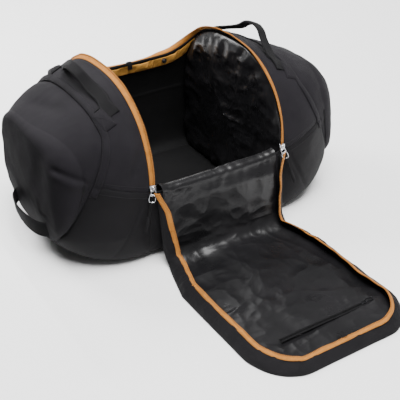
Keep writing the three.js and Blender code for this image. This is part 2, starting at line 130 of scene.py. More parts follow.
def add_studio():
    far = 30.0
    add_board("floor", [(-far, -far, 0), (far, -far, 0), (far, far, 0), (-far, far, 0)], 0.93, 0.9)
    # A black card keeps the floor's glow off the left end. The camera does not see it.
    x, far, top = -0.455, 0.50, 0.62
    card = add_board("flag", [(x, -far, 0), (x, far, 0), (x, far, top), (x, -far, top)], 0.01, 1.0)
    card.visible_camera = False
    card.visible_shadow = False
    world = bpy.data.worlds.new("studio")
    world.use_nodes = True
    sky = world.node_tree.nodes["Background"]
    sky.inputs["Color"].default_value = (1, 1, 1, 1)
    sky.inputs["Strength"].default_value = 0.40
    bpy.context.scene.world = world
    sun = add_object("overhead", bpy.data.lights.new("overhead", "SUN"))
    sun.data.energy = 6.0
    sun.data.angle = math.radians(42)
    aim(sun, (0.06, 0.20, -1.0))
    add_area_light("key", (-0.5, -1.3, 2.4), (-0.1, -0.1, 0.15), 1.0, 40)
    add_area_light("back", (0.9, 1.9, 1.7), (0.1, -0.1, 0.15), 1.2, 14)
    add_area_light("window", (-0.9, 1.6, 1.6), (0.18, 0.0, 0.30), 1.1, 56)


# ------------------------------------------------------------------ materials
class Nodes:
    """A short way to build a node material."""

    def __init__(self, name, colour, roughness, metallic=0.0, sheen=0.0, specular=0.5):
        self.material = bpy.data.materials.new(name)
        self.material.use_nodes = True
        self.tree = self.material.node_tree
        self.shader = self.tree.nodes["Principled BSDF"]
        self.set("Base Color", (*colour, 1))
        self.set("Roughness", roughness)
        self.set("Metallic", metallic)
        self.set("Sheen Weight", sheen)
        self.set("Sheen Roughness", 0.5)
        self.set("Specular IOR Level", specular)
        self.set("Coat Weight", 0.0)

    def set(self, socket, value):
        self.shader.inputs[socket].default_value = value

    def feed(self, socket, value):
        """Gives a socket another node's output, or a constant."""
        if hasattr(value, "is_output"):
            self.tree.links.new(value, socket)
        else:
            socket.default_value = value

    def node(self, kind, **inputs):
        made = self.tree.nodes.new(kind)
        for key, value in inputs.items():
            self.feed(made.inputs[key], value)
        return made

    def coords(self, which, scale):
        source = self.tree.nodes.new("ShaderNodeTexCoord")
        return self.node("ShaderNodeMapping", Scale=scale, Vector=source.outputs[which]).outputs["Vector"]

    def noise(self, scale, detail=2.0, rough=0.5, kind="FBM", distortion=0.0, stretch=(1, 1, 1)):
        made = self.node("ShaderNodeTexNoise", Scale=scale, Detail=detail, Roughness=rough,
                         Distortion=distortion, Vector=self.coords("Object", stretch))
        made.noise_type = kind
        return made.outputs[0]

    def ribs(self, pitch, direction):
        """Fine ribs across the piece's UVs, which are in metres."""
        waves = 0.314 / pitch                        # Blender's wave repeats every pi / 10 units
        made = self.node("ShaderNodeTexWave", Scale=1.0, Vector=self.coords("UV", (waves, waves, waves)))
        made.bands_direction = direction
        return made.outputs["Fac"]

    def math(self, operation, a, b):
        made = self.tree.nodes.new("ShaderNodeMath")
        made.operation = operation
        self.feed(made.inputs[0], a)
        self.feed(made.inputs[1], b)
        return made.outputs[0]

    def blend(self, factor, low, high, socket="Base Color"):
        """Colours or roughness between two values, driven by a texture."""
        ramp = self.node("ShaderNodeValToRGB", Fac=factor)
        for element, value, position in zip(ramp.color_ramp.elements, (low, high), (0.25, 0.75)):
            element.color = (*value, 1) if hasattr(value, "__len__") else (value, value, value, 1)
            element.position = position
        self.feed(self.shader.inputs[socket], ramp.outputs["Color"])

    def bump(self, *layers):
        """Each layer is (height, depth in metres, strength)."""
        below = {}
        for height, depth, strength in layers:
            made = self.node("ShaderNodeBump", Strength=strength, Distance=depth, Height=height, **below)
            below = {"Normal": made.outputs["Normal"]}
        self.feed(self.shader.inputs["Normal"], below["Normal"])


def woven(name, dark, light, pitch, roughness=0.72):
    """Matte woven bag cloth: fine plain weave, slubs, and soft patches of wear."""
    nodes = Nodes(name, light, roughness, sheen=0.02, specular=0.11)
    nodes.blend(nodes.noise(9.0, 4.0, 0.6), dark, light)
    weave = nodes.math("MULTIPLY", nodes.ribs(pitch, "X"), nodes.ribs(pitch, "Y"))
    slubs = nodes.noise(260.0, 2.0, 0.6)
    rumple = nodes.noise(34.0, 3.0, 0.5)
    nodes.bump((rumple, 0.0016, 0.35), (slubs, 0.0005, 0.25), (weave, 0.00045, 0.6))
    return nodes.material


def tarpaulin():
    """Glossy coated cloth with sharp crumples between soft ones."""
    nodes = Nodes("tarpaulin", (0.006, 0.006, 0.007), 0.30, specular=0.34)
    nodes.blend(nodes.noise(9.0, 3.0, 0.6), 0.23, 0.40, "Roughness")
    nodes.blend(nodes.noise(7.0, 3.0, 0.55), (0.004, 0.004, 0.0045), (0.009, 0.0085, 0.0095))
    creases = nodes.noise(11.0, 2.5, 0.5, kind="RIDGED_MULTIFRACTAL", distortion=0.9)
    soft = nodes.noise(26.0, 2.0, 0.5)
    grain = nodes.math("MULTIPLY", nodes.ribs(0.0016, "X"), nodes.ribs(0.0016, "Y"))
    nodes.bump((soft, 0.0022, 0.30), (creases, 0.0030, 0.42), (grain, 0.0002, 0.15))
    return nodes.material


def ribbed(name, dark, light, pitch, roughness, depth=0.0006):
    """Narrow woven goods, such as zip tape and webbing: ribs across and a finer line along."""
    nodes = Nodes(name, light, roughness, sheen=0.02, specular=0.07)
    across = nodes.ribs(pitch, "Y")
    lines = nodes.ribs(0.0011, "X")
    worn = nodes.noise(60.0, 4.0, 0.65)
    shade = nodes.math("ADD", nodes.math("MULTIPLY", across, 0.35), nodes.math("MULTIPLY", worn, 0.65))
    nodes.blend(shade, dark, light)
    nodes.bump((worn, 0.0006, 0.3), (across, depth, 0.7), (lines, depth * 0.5, 0.5))
    return nodes.material


def metal(name, colour, roughness):
    """Die-cast metal, brushed by wear."""
    nodes = Nodes(name, colour, roughness, metallic=1.0)
    nodes.blend(nodes.noise(420.0, 3.0, 0.6), roughness * 0.8, roughness * 1.35, "Roughness")
    nodes.bump((nodes.noise(900.0, 2.0, 0.5, stretch=(1, 1, 0.15)), 0.00015, 0.3))
    return nodes.material


def plain_thread(name, colour):
    nodes = Nodes(name, colour, 0.6, specular=0.2)
    nodes.bump((nodes.noise(1500.0, 2.0, 0.5), 0.0001, 0.5))
    return nodes.material


OUTER = woven("outer_cloth", (0.0070, 0.0062, 0.0080), (0.0125, 0.0110, 0.0138), 0.0011)
# Base cloth. It is also drawn on the flap's rim, whose own cloth is the outer cloth, as painted shade there.
BASE_AND_RIM_SHADE = woven("base_cloth", (0.0048, 0.0044, 0.0052), (0.0078, 0.0072, 0.0083), 0.0015)
LINING = woven("inner_cloth", (0.0028, 0.0028, 0.0030), (0.0050, 0.0049, 0.0052), 0.0011, 0.6)
TARP = tarpaulin()
TAPE = ribbed("zip_tape", (0.30, 0.112, 0.020), (0.50, 0.205, 0.042), 0.0022, 0.55)
TEETH = ribbed("zip_teeth", (0.30, 0.12, 0.028), (0.50, 0.22, 0.055), 0.0022, 0.4)
# The facing's orange is drawn about half again brighter than its own colour: painted light for the shade it
# lies in.
FACING = ribbed("facing_cloth", (0.50, 0.225, 0.040), (0.82, 0.42, 0.095), 0.0030, 0.6)
WEBBING = ribbed("webbing", (0.0045, 0.0043, 0.0048), (0.0110, 0.0105, 0.0115), 0.0024, 0.6, 0.0009)
BINDING = ribbed("binding", (0.0035, 0.0035, 0.0038), (0.0080, 0.0078, 0.0084), 0.0016, 0.5)
THREAD = plain_thread("thread", (0.014, 0.013, 0.015))
AMBER_THREAD = plain_thread("amber_thread", (0.36, 0.16, 0.04))
ZINC = metal("zinc", (0.62, 0.63, 0.65), 0.26)
BLACK_METAL = metal("black_metal", (0.035, 0.035, 0.038), 0.35)


# ------------------------------------------------------------------ small sums
def unit(vectors):
    return vectors / np.linalg.norm(vectors, axis=-1, keepdims=True)


def bell(value, width):
    """1 where the value is 0, fading out over about that width to both sides."""
    return np.exp(-((value / width) ** 2))


def ease(share):
    """From 0 to 1 with a gentle start and stop."""
    share = np.clip(share, 0, 1)
    return share * share * (3 - 2 * share)


def hump(share, power, low=0.0, high=1.0):
    """Up from 0 and down again, over a share from 0 to 1 that is held between low and high."""
    return np.sin(np.pi * np.clip(share, low, high)) ** power


def signed_power(value, exponent):
    return np.sign(value) * np.abs(value) ** exponent


def mirror_x(points, side):
    return points * np.array([side, 1, 1])


def distances(path):
    """Distance along a path at each of its points."""
    return np.concatenate([[0], np.cumsum(np.linalg.norm(np.diff(path, axis=0), axis=1))])


def between(value, stops):
    """Reads a value off a table of (place, amount)."""
    places, amounts = np.array(stops, float).T
    return np.interp(value, places, amounts)


def sample(values, travel, places):
    """Rows of values, given at the distances in travel, read off at other distances."""
    values = np.asarray(values, float)
    return np.stack([np.interp(places, travel, values[:, a]) for a in range(values.shape[1])], 1)


def smooth_path(points, count):
    """Evenly spaced points on a curve through every given point."""
    points = np.asarray(points, float)
    padded = np.concatenate([2 * points[:1] - points[1:2], points, 2 * points[-1:] - points[-2:-1]])
    t = np.linspace(0, 1, 24, endpoint=False)[:, None]
    dense = [
        0.5 * (2 * b + (c - a) * t + (2 * a - 5 * b + 4 * c - d) * t**2 + (3 * b - a - 3 * c + d) * t**3)
        for a, b, c, d in (padded[k:k + 4] for k in range(len(points) - 1))
    ]
    dense = np.concatenate(dense + [points[-1:]])
    travel = distances(dense)
    return sample(dense, travel, np.linspace(0, travel[-1], count))


# ------------------------------------------------------------------ noise for folds and creases
def lattice(cells, seed):
    """A fixed value from -1 to 1 for each whole-number cell."""
    x, y, z = np.moveaxis(cells, -1, 0)
    mixed = x * 374761393 + y * 668265263 + z * 1440662683 + seed * 1274126177
    mixed = mixed & 0xFFFFFFFF
    mixed = ((mixed ^ (mixed >> 13)) * 1274126177) & 0xFFFFFFFF
    mixed = mixed ^ (mixed >> 16)
    return (mixed & 0xFFFF) / 32767.5 - 1.0


def smooth_noise(points, size, seed):
    scaled = np.asarray(points, float) / size
    cell = np.floor(scaled).astype(np.int64)
    part = ease(scaled - cell)
    total = np.zeros(scaled.shape[:-1])
    for corner in range(8):
        step = np.array([corner & 1, corner >> 1 & 1, corner >> 2 & 1])
        weight = np.prod(np.where(step == 1, part, 1 - part), axis=-1)
        total += weight * lattice(cell + step, seed)
    return total


def folds(points, size, seed, octaves=3):
    """Soft, rounded folds."""
    return sum(smooth_noise(points, size / 2**k, seed + k) / 1.9**k for k in range(octaves))


def crumple(points, size, seed, octaves=4):
    """Facets that meet in ridges, as stiff coated cloth creases."""
    total = 0
    for k in range(octaves):
        warp = np.stack([smooth_noise(points, size, seed + 40 + k * 3 + a) for a in range(3)], -1)
        value = smooth_noise(np.asarray(points) + warp * size * 0.35, size / 1.9**k, seed + k)
        total = total + (1 - 2.2 * np.abs(value)) / 1.8**k
    return total / 2


def crease(points, start, end, depth, width):
    """A valley along a line from start to end that fades out at both ends. The line may pass under the curved
    skin, so depth in y counts for less."""
    start, end = np.array(start), np.array(end)
    along = end - start
    share = np.clip(((points - start) @ along) / (along @ along), 0, 1)
    off = np.linalg.norm((points - (start + share[..., None] * along)) * np.array([1, 0.25, 1]), axis=-1)
    return -depth * bell(off, width) * hump(share, 0.5, 0.04, 0.96)


# ------------------------------------------------------------------ mesh helpers
def surface_normals(rows, wrap=False):
    down = np.gradient(rows, axis=0)
    across = np.roll(rows, -1, 1) - np.roll(rows, 1, 1) if wrap else np.gradient(rows, axis=1)
    normal = np.cross(down, across)
    return normal / np.maximum(np.linalg.norm(normal, axis=-1, keepdims=True), 1e-12)


def facing_sign(rows, normals, away_from):
    """1 if the grid's normals point away from that point on the whole, or else -1."""
    return 1.0 if ((rows - np.array(away_from)) * normals).sum() > 0 else -1.0


def outward(rows, away_from, wrap=False):
    """The grid's normals, on the side away from that point."""
    normals = surface_normals(rows, wrap)
    return normals * facing_sign(rows, normals, away_from)


def lifted(rows, amount, away_from, wrap=False):
    """The grid moved along its own normals by amount, a number or an array."""
    return rows + outward(rows, away_from, wrap) * (amount[..., None] if hasattr(amount, "shape") else amount)


def arc_lengths(rows, axis):
    steps = np.linalg.norm(np.diff(rows, axis=axis), axis=-1)
    return np.concatenate([np.zeros_like(np.take(steps, [0], axis)), np.cumsum(steps, axis)], axis)


def link(name, vertices, faces, materials):
    mesh = bpy.data.meshes.new(name)
    mesh.from_pydata([tuple(map(float, v)) for v in vertices], [], faces)
    for material in materials:
        mesh.materials.append(material)
    mesh.polygons.foreach_set("use_smooth", [True] * len(mesh.polygons))
    return add_object(name, mesh)


def sheet(name, rows, materials, away_from, thick=0.0, wrap=False, close_end=False):
    """A piece of cloth through a grid of points. Its UVs are in metres along and across."""
    count, width = rows.shape[:2]
    flip = facing_sign(rows, surface_normals(rows, wrap), away_from) < 0
    cells = width if wrap else width - 1
    closed = np.concatenate([rows, rows[:, :1]], 1) if wrap else rows
    across, down = arc_lengths(closed, 1), arc_lengths(closed, 0)
    faces, uvs = [], []
    for i in range(count - 1):
        for j in range(cells):
            corners = [(i, j), (i + 1, j), (i + 1, j + 1), (i, j + 1)]
            if flip:
                corners.reverse()
            faces.append([a * width + b % width for a, b in corners])
            uvs += [(across[a, b], down[a, b]) for a, b in corners]
    vertices = rows.reshape(-1, 3)
    if close_end:
        hub, last = len(vertices), (count - 1) * width
        vertices = np.concatenate([vertices, rows[-1].mean(0)[None]])
        for j in range(cells):
            corners = [last + j, hub, last + (j + 1) % width]
            faces.append(corners[::-1] if flip else corners)
            uvs += [(across[-1, j], down[-1, j])] * 3
    piece = link(name, vertices, faces, materials if isinstance(materials, list) else [materials])
    layer = piece.data.uv_layers.new(name="UVMap")
    layer.data.foreach_set("uv", np.array(uvs, float).ravel())
    if thick:
        solid = piece.modifiers.new("thickness", "SOLIDIFY")
        solid.thickness = thick
        solid.offset = -1.0
        solid.material_offset = len(piece.data.materials) - 1
        solid.material_offset_rim = 0
    return piece


def face_outwards(piece):
    """Turns every face of a closed piece outwards."""
    made = bmesh.new()
    made.from_mesh(piece.data)
    bmesh.ops.recalc_face_normals(made, faces=made.faces)
    made.to_mesh(piece.data)
    made.free()
    return piece


def tube(name, rows, material, centre):
    """A closed piece through rings of points."""
    return face_outwards(sheet(name, rows, material, centre, wrap=True))


def finish_piece(piece, body, slot, *nodes):
    """Rides on one body when body is a name; when body is (a, b, start, end), the piece is only baked in
    place.
    """
    if isinstance(body, str):
        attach(piece, body)
    else:
        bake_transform(piece)
    if nodes:
        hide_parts(*nodes)
    return piece


def add_wall(name, rows, cloth, body, slot, nodes, fill, **shape):
    """A padded, lined wall of the bag."""
    piece = sheet(name, rows, [cloth, LINING], FORM_MIDDLE, CLOTH, **shape)
    finish_piece(piece, body, slot, *nodes)


def beads(name, centres, forwards, ups, size, material):
    """Small rounded blocks set along a line, for zip teeth and stitches. Size is (along, across, high)."""
    along, wide, high = np.array(size) / 2
    profile = [(-1, -0.6), (-0.6, -1), (0.6, -1), (1, -0.6), (1, 0.6), (0.6, 1), (-0.6, 1), (-1, 0.6)]
    vertices, faces = [], []
    for centre, forward, up in zip(centres, unit(forwards), ups):
        side = unit(np.cross(up, forward))
        upward = np.cross(forward, side)
        start = len(vertices)
        for height, shrink in ((-1, 1.0), (0.5, 1.0), (1, 0.6)):
            for a, b in profile:
                flat = forward * a * along + side * b * wide
                vertices.append(centre + flat * shrink + upward * height * high)
        for low in (start, start + 8):
            for k in range(8):
                after = (k + 1) % 8
                faces.append([low + k, low + after, low + 8 + after, low + 8 + k])
        faces.append([start + 16 + k for k in range(8)])
        faces.append([start + 7 - k for k in range(8)])
    return link(name, vertices, faces, [material])


def row_of_beads(name, path, normals, pitch, size, material):
    """Evenly spaced beads on a path. Normals are given at the path's own points."""
    travel = distances(path)
    count = max(int(travel[-1] / pitch), 1)
    places = (np.arange(count) + 0.5) * travel[-1] / count
    ahead, behind = (sample(path, travel, places + shift * pitch) for shift in (0.3, -0.3))
    points, ups = sample(path, travel, places), sample(normals, travel, places)
    return beads(name, points, ahead - behind, ups, size, material)


def add_teeth(name, path, normals, body):
    teeth = row_of_beads(name, path, normals, 0.0034, (0.0022, 0.0036, 0.0026), TEETH)
    finish_piece(teeth, body, "zip_tape")


def add_stitches(name, path, normals, body, slot, lift=0.0004, thread=THREAD):
    """A row of stitches that lies lift above a path."""
    row = row_of_beads(name, path + normals * lift, normals, 0.0052, (0.0036, 0.0009, 0.0007), thread)
    finish_piece(row, body, slot)


def strap(name, path, across, width, thick, material, around=16, ends=True):
    """A band through path. Across is the direction of its width, at each point or all along."""
    path = np.asarray(path, float)
    across = unit(np.broadcast_to(np.asarray(across, float), path.shape))
    up = unit(np.cross(across, np.gradient(path, axis=0)))
    width, thick = (np.broadcast_to(size, (len(path),))[:, None, None] for size in (width, thick))
    angle = np.linspace(0, 2 * np.pi, around, endpoint=False)
    a = signed_power(np.cos(angle), 0.45)[None, :, None]
    b = signed_power(np.sin(angle), 0.75)[None, :, None]
    rows = path[:, None] + across[:, None] * a * width / 2 + up[:, None] * b * thick / 2
    if ends:
        first, last = rows[:1].mean(1, keepdims=True), rows[-1:].mean(1, keepdims=True)
        rows = np.concatenate([first + (rows[:1] - first) * 0.02, first + (rows[:1] - first) * 0.93, rows,
                               last + (rows[-1:] - last) * 0.93, last + (rows[-1:] - last) * 0.02])
    return tube(name, rows, material, path.mean(0))


def wire(name, path, radius, material, closed=True):
    """Round wire through path, in a ring if closed."""
    path = np.asarray(path, float)
    ahead = unit(np.roll(path, -1, 0) - np.roll(path, 1, 0) if closed else np.gradient(path, axis=0))
    centre = path.mean(0)
    side = unit(np.cross(ahead, unit(np.cross(path[0] - centre, path[len(path) // 3] - centre))))
    up = np.cross(side, ahead)
    angle = np.linspace(0, 2 * np.pi, 10, endpoint=False)[None, :, None]
    rows = path[:, None] + radius * (side[:, None] * np.cos(angle) + up[:, None] * np.sin(angle))
    if closed:
        rows = np.concatenate([rows, rows[:1]])
    else:
        first, last = path[:1, None], path[-1:, None]
        rows = np.concatenate([first + (rows[:1] - first) * 0.02, rows, last + (rows[-1:] - last) * 0.02])
    return tube(name, rows, material, centre)


def rounded_block(name, low, high, material):
    """A cast block with rounded edges."""
    low, high = np.array(low, float), np.array(high, float)
    centre, half, power = (low + high) / 2, (high - low) / 2, 0.34
    v = np.linspace(-np.pi / 2, np.pi / 2, 15)[:, None]
    u = np.linspace(0, 2 * np.pi, 28, endpoint=False)[None]
    level, height = signed_power(np.cos(v), power), signed_power(np.sin(v), power)
    x, y = level * signed_power(np.cos(u), power), level * signed_power(np.sin(u), power)
    ring = np.stack([x, y, np.broadcast_to(height, x.shape)], -1)
    return tube(name, centre + half * ring, material, centre)


def square_loop(centre, along, across, length, width):
    """Points round a rounded rectangle."""
    angle = np.linspace(0, 2 * np.pi, 40, endpoint=False)
    a, b = signed_power(np.cos(angle), 0.5) * length / 2, signed_power(np.sin(angle), 0.5) * width / 2
    return np.array(centre) + a[:, None] * np.array(along) + b[:, None] * np.array(across)


# ------------------------------------------------------------------ the bag's outer form
# Ring sizes: at the arches, at the end face, and the power that leads from one to the other.
FORM = {
    "y": (0.012, -0.012, 1),
    "half": (0.226, 0.140, 2),
    "top": (0.400, 0.308, 0.9),
    "bottom": (-0.002, 0.060, 3.6),
    "waist": (0.185, 0.184, 1),
    "round_top": (2.35, 3.4, 1),
    "round_base": (9, 3.4, 1),
}
ARCH_Y, END_Y = FORM["y"][:2]
HALF_STEPS = 120                                     # points over the top half of a ring, and under it


def half_ring(x, upper):
    """Evenly spaced (y, z) points: the top half from the back to the front, or the lower half on round."""
    share = min(max((x - ARCH_X) / (END_X - ARCH_X), 0), 1)
    size = {key: arch + (end - arch) * share ** power for key, (arch, end, power) in FORM.items()}
    turn = np.pi * (0.5 - 0.5 * np.cos(np.linspace(0, np.pi, 900)))
    if not upper:
        turn = turn + np.pi
    power = 2 / (size["round_top"] if upper else size["round_base"])
    height = size["top"] - size["waist"] if upper else size["waist"] - size["bottom"]
    y = size["y"] + size["half"] * signed_power(np.cos(turn), power)
    z = np.maximum(size["waist"] + height * signed_power(np.sin(turn), power), 0.0)
    ring = np.stack([y, z], -1)
    travel = distances(ring)
    return sample(ring, travel, np.linspace(0, travel[-1], HALF_STEPS + 1))


RING_X = np.linspace(ARCH_X, END_X, 100)
RINGS = np.array([np.concatenate([half_ring(x, True), half_ring(x, False)[1:]]) for x in RING_X])
RING_LENGTH = distances(RINGS[0, :HALF_STEPS + 1])[-1]


def skin(x, turn):
    """Points on the form. Turn is 0 at the back waist, 1 at the front waist and 2 at the back again."""
    x, turn = np.broadcast_arrays(np.asarray(x, float), np.asarray(turn, float))
    column = np.clip((np.abs(x) - ARCH_X) / (RING_X[1] - RING_X[0]), 0, len(RING_X) - 1.0001)
    row = np.clip(turn * HALF_STEPS, 0, 2 * HALF_STEPS - 0.0001)
    i, j = column.astype(int), row.astype(int)
    a, b = (column - i)[..., None], (row - j)[..., None]
    low = RINGS[i, j] * (1 - b) + RINGS[i, j + 1] * b
    high = RINGS[i + 1, j] * (1 - b) + RINGS[i + 1, j + 1] * b
    return np.concatenate([x[..., None], low * (1 - a) + high * a], -1)


def turn_at(z, first, last):
    """The turn between first and last at which the middle section passes that height."""
    turns = np.linspace(first, last, 4001) % 2
    return float(turns[np.argmin(np.abs(skin(ARCH_X, turns)[:, 2] - z))])


FRONT_FOOT = turn_at(0.004, 0.5, 1.5)
BACK_FOOT = turn_at(0.006, 1.5, 2.5)
EDGE_TURN = turn_at(EDGE_Z, 0, 0.5)
EDGE_TRAVEL = EDGE_TURN * RING_LENGTH                # up the back wall from its waist to the rear edge


def seam_x(turns):
    """Where the pocket seam crosses the form at each turn."""
    tries = np.linspace(ARCH_X, END_X - 0.005, 400)
    found = []
    for turn in turns:
        past = np.nonzero(tries >= between(skin(tries, turn)[:, 2], SEAM))[0]
        found.append(tries[past[0]] if len(past) else tries[-1])
    return np.array(found)


# ------------------------------------------------------------------ the two ends
INNER_COLUMNS, OUTER_COLUMNS, RIM_COLUMNS, FACE_COLUMNS = 46, 44, 14, 26
RIM_RADIUS = 0.013
FRONT_RIM_RADIUS = 0.045                             # added where each end rounds into the front
TURNS = np.linspace(0, 2, 321)
FRONT_COLUMN = len(TURNS) // 2                       # the front waist
WAIST_RISE = 0.075                                   # of the front waist seam at the pocket seam, in turns
END_TURNS = TURNS - WAIST_RISE * np.clip(np.sin(np.pi * TURNS / 2), 0, 1) ** 2
SEAM_AT = np.convolve(np.pad(seam_x(END_TURNS), 2, mode="edge"), np.ones(5) / 5, "valid")
END_HUB = np.array([0, END_Y, FORM["waist"][1] - 0.004])
FLAT = np.array([0, 1, 1])

# Soft creases on each end as (start, end, depth, width); x is outwards.
WAIST_SEAM = ((0.192, -0.2160, 0.186), (0.296, -0.1920, -0.005), 0.0042, 0.0042)
CREASES = {
    "left": [
        WAIST_SEAM,
        ((0.398, -0.043, 0.113), (0.362, -0.174, 0.159), 0.0032, 0.0040),
        ((0.385, -0.120, 0.300), (0.392, -0.060, 0.180), 0.0040, 0.016),
        ((0.386, -0.140, 0.276), (0.322, -0.190, 0.242), 0.0075, 0.0055),
        ((0.384, -0.146, 0.262), (0.322, -0.192, 0.228), -0.0040, 0.008),
        ((0.192, -0.190, 0.290), (0.240, -0.215, 0.215), 0.0045, 0.010),
        ((0.200, -0.170, 0.330), (0.235, -0.200, 0.260), -0.0030, 0.012),
        ((0.300, -0.060, 0.345), (0.340, 0.090, 0.330), 0.0050, 0.018),
        ((0.350, -0.140, 0.320), (0.385, -0.150, 0.240), -0.0035, 0.014),
    ],
    "right": [
        WAIST_SEAM,
        ((0.360, -0.150, 0.290), (0.385, -0.130, 0.120), 0.0045, 0.016),
        ((0.260, -0.120, 0.370), (0.330, 0.060, 0.345), 0.0045, 0.016),
        ((0.350, 0.100, 0.300), (0.385, 0.060, 0.160), 0.0050, 0.018),
        ((0.200, 0.150, 0.340), (0.250, 0.190, 0.260), 0.0040, 0.012),
        ((0.390, 0.000, 0.260), (0.390, -0.070, 0.150), 0.0040, 0.018),
    ],
}


def end_grids():
    """Rings of the right end: from the arch to the pocket seam, and from there to the middle of its face."""
    v = np.linspace(0, 1, INNER_COLUMNS)[:, None]
    inner = skin(ARCH_X + (SEAM_AT - ARCH_X) * v, TURNS + (END_TURNS - TURNS) * v)
    radius = np.minimum(RIM_RADIUS + FRONT_RIM_RADIUS * bell(END_TURNS - 0.86, 0.22), END_X - SEAM_AT - 0.002)
    start = END_X - radius
    outer = list(skin(SEAM_AT + (start - SEAM_AT) * np.linspace(0, 1, OUTER_COLUMNS)[:, None], END_TURNS))
    edge = skin(start, END_TURNS)
    inward = unit(END_HUB - edge * FLAT)
    for angle in np.linspace(0, np.pi / 2, RIM_COLUMNS + 1)[1:]:
        ring = edge + inward * (radius * (1 - math.cos(angle)))[:, None]
        ring[:, 0] = start + radius * math.sin(angle)
        outer.append(ring)
    rim = outer[-1]
    for v in np.linspace(0, 0.97, FACE_COLUMNS)[1:]:
        ring = rim + (END_HUB - rim) * FLAT * v
        ring[:, 0] = END_X
        outer.append(ring)
    return inner, np.array(outer)


def relief(points, seed, creases):
    """Outward push of the cloth: broad sags, folds and a few long creases."""
    push = folds(points, 0.15, seed, 2) * 0.0036 + folds(points, 0.052, seed + 9, 3) * 0.0010
    push += crumple(points * np.array([1, 1, 1.4]), 0.10, seed + 30, 2) * 0.0018
    return push + sum(crease(points, *line) for line in creases)


def puckers(rows, seed):
    """Small gathers beside a seam, which run away from it."""
    wave = np.sin(arc_lengths(rows, 1) / 0.0105 + 2.5 * smooth_noise(rows, 0.03, seed))
    return wave * smooth_noise(rows, 0.045, seed + 1)


def pushed_out(rows, push, low, high, least):
    """Cloth pushed outwards, by only a least share of push below low and by all of it above high."""
    share = np.clip((rows[..., 2] - low) / (high - low), 0, 1)
    rows = lifted(rows, push * (least + (1 - least) * share), FORM_MIDDLE)
    rows[..., 2] = np.maximum(rows[..., 2], FLOOR_GAP)
    return rows


def dress_end(name, side):
    """The cloth of one end. Returns a search tree over it."""
    inner, outer = end_grids()
    seed = 11 if side < 0 else 57
    share = np.linspace(0, 1, INNER_COLUMNS)[:, None]
    push = relief(inner, seed, CREASES[name]) * hump(share, 0.5) + 0.0050 * hump(share, 0.7)
    push += 0.0009 * puckers(inner, seed + 70) * (np.exp(-share / 0.12) + np.exp(-(1 - share) / 0.12))
    push -= 0.0016 * np.exp(-(1 - share) / 0.03)
    push -= 0.0022 * bell(np.abs(TURNS - 1) * 0.55, 0.0045) * (share > 0.02)
    inner = pushed_out(inner, push, 0.03, 0.09, 0.25)

    travel = arc_lengths(outer, 0)
    beside = np.exp(-travel / 0.016)
    push = relief(outer, seed, CREASES[name]) * np.clip(travel / 0.02, 0, 1) ** 0.6
    push *= np.clip((travel[-1] - travel) / 0.05, 0.15, 1)
    push += 0.0045 * (1 - np.exp(-travel / 0.03))
    push += 0.0010 * puckers(outer, seed + 90) * beside - 0.0016 * beside ** 3
    face = np.clip((np.arange(len(outer)) - OUTER_COLUMNS - RIM_COLUMNS) / FACE_COLUMNS, 0, 1)[:, None]
    push += 0.0050 * np.sin(np.pi * face / 2)
    outer = pushed_out(outer, push, 0.05, 0.12, 0.3)
    outer[0] = inner[-1]
    base_seam = bell(outer[..., 2] - 0.118, 0.004) * (travel > 0.03) * face
    outer[..., 0] -= 0.0022 * base_seam

    inner, outer = mirror_x(inner, side), mirror_x(outer, side)
    start, end = ((side * END_X, END_Y, COVER_Z + shift) for shift in (-0.015, 0.020))
    bend = ("bag", f"{name}_end_cover", start, end)
    upper, lower = inner[:, :FRONT_COLUMN + 1], inner[:, FRONT_COLUMN:]
    add_wall(f"{name}_gusset_cloth", upper, OUTER, "bag", "outer_cloth", [f"{name}_gusset"], 0.35)
    add_wall(f"{name}_lower_cloth", lower, BASE_AND_RIM_SHADE, "bag", "base_cloth", [f"{name}_lower_shell"], 0.35)
    add_wall(f"{name}_end_panel", outer[:, :-1], OUTER, bend, "outer_cloth",
             [f"{name}_end_cover", f"{name}_end_base"], 0.35, wrap=True, close_end=True)
    add_storm_flap(name, inner)
    normals = outward(inner, FORM_MIDDLE)
    for k, column in enumerate((FRONT_COLUMN - 3, FRONT_COLUMN + 3)):
        line, ups = inner[1:-1, column], normals[1:-1, column]
        add_stitches(f"{name}_waist_stitch_{k}", line, ups, "bag", "outer_cloth")
    add_partition(name, side)
    return cloth_tree([inner, outer[:, :-1]])


def cloth_tree(grids):
    vertices, faces = [], []
    for rows in grids:
        start, (count, width) = len(vertices), rows.shape[:2]
        vertices += [Vector(p) for p in rows.reshape(-1, 3)]
        for i in range(count - 1):
            for j in range(width - 1):
                first = start + i * width + j
                faces.append([first, first + width, first + width + 1, first + 1])
    return BVHTree.FromPolygons(vertices, faces)


def drop(cloth, point, direction):
    """Where a ray from outside meets the cloth near that point, and its normal towards the ray."""
    direction = Vector(direction).normalized()
    place, normal, _, _ = cloth.ray_cast(Vector(point) - direction * 0.2, direction)
    if place is None:
        place, normal, _, _ = cloth.find_nearest(Vector(point))
    if normal.dot(direction) > 0:
        normal = -normal
    return np.array(place), np.array(normal)


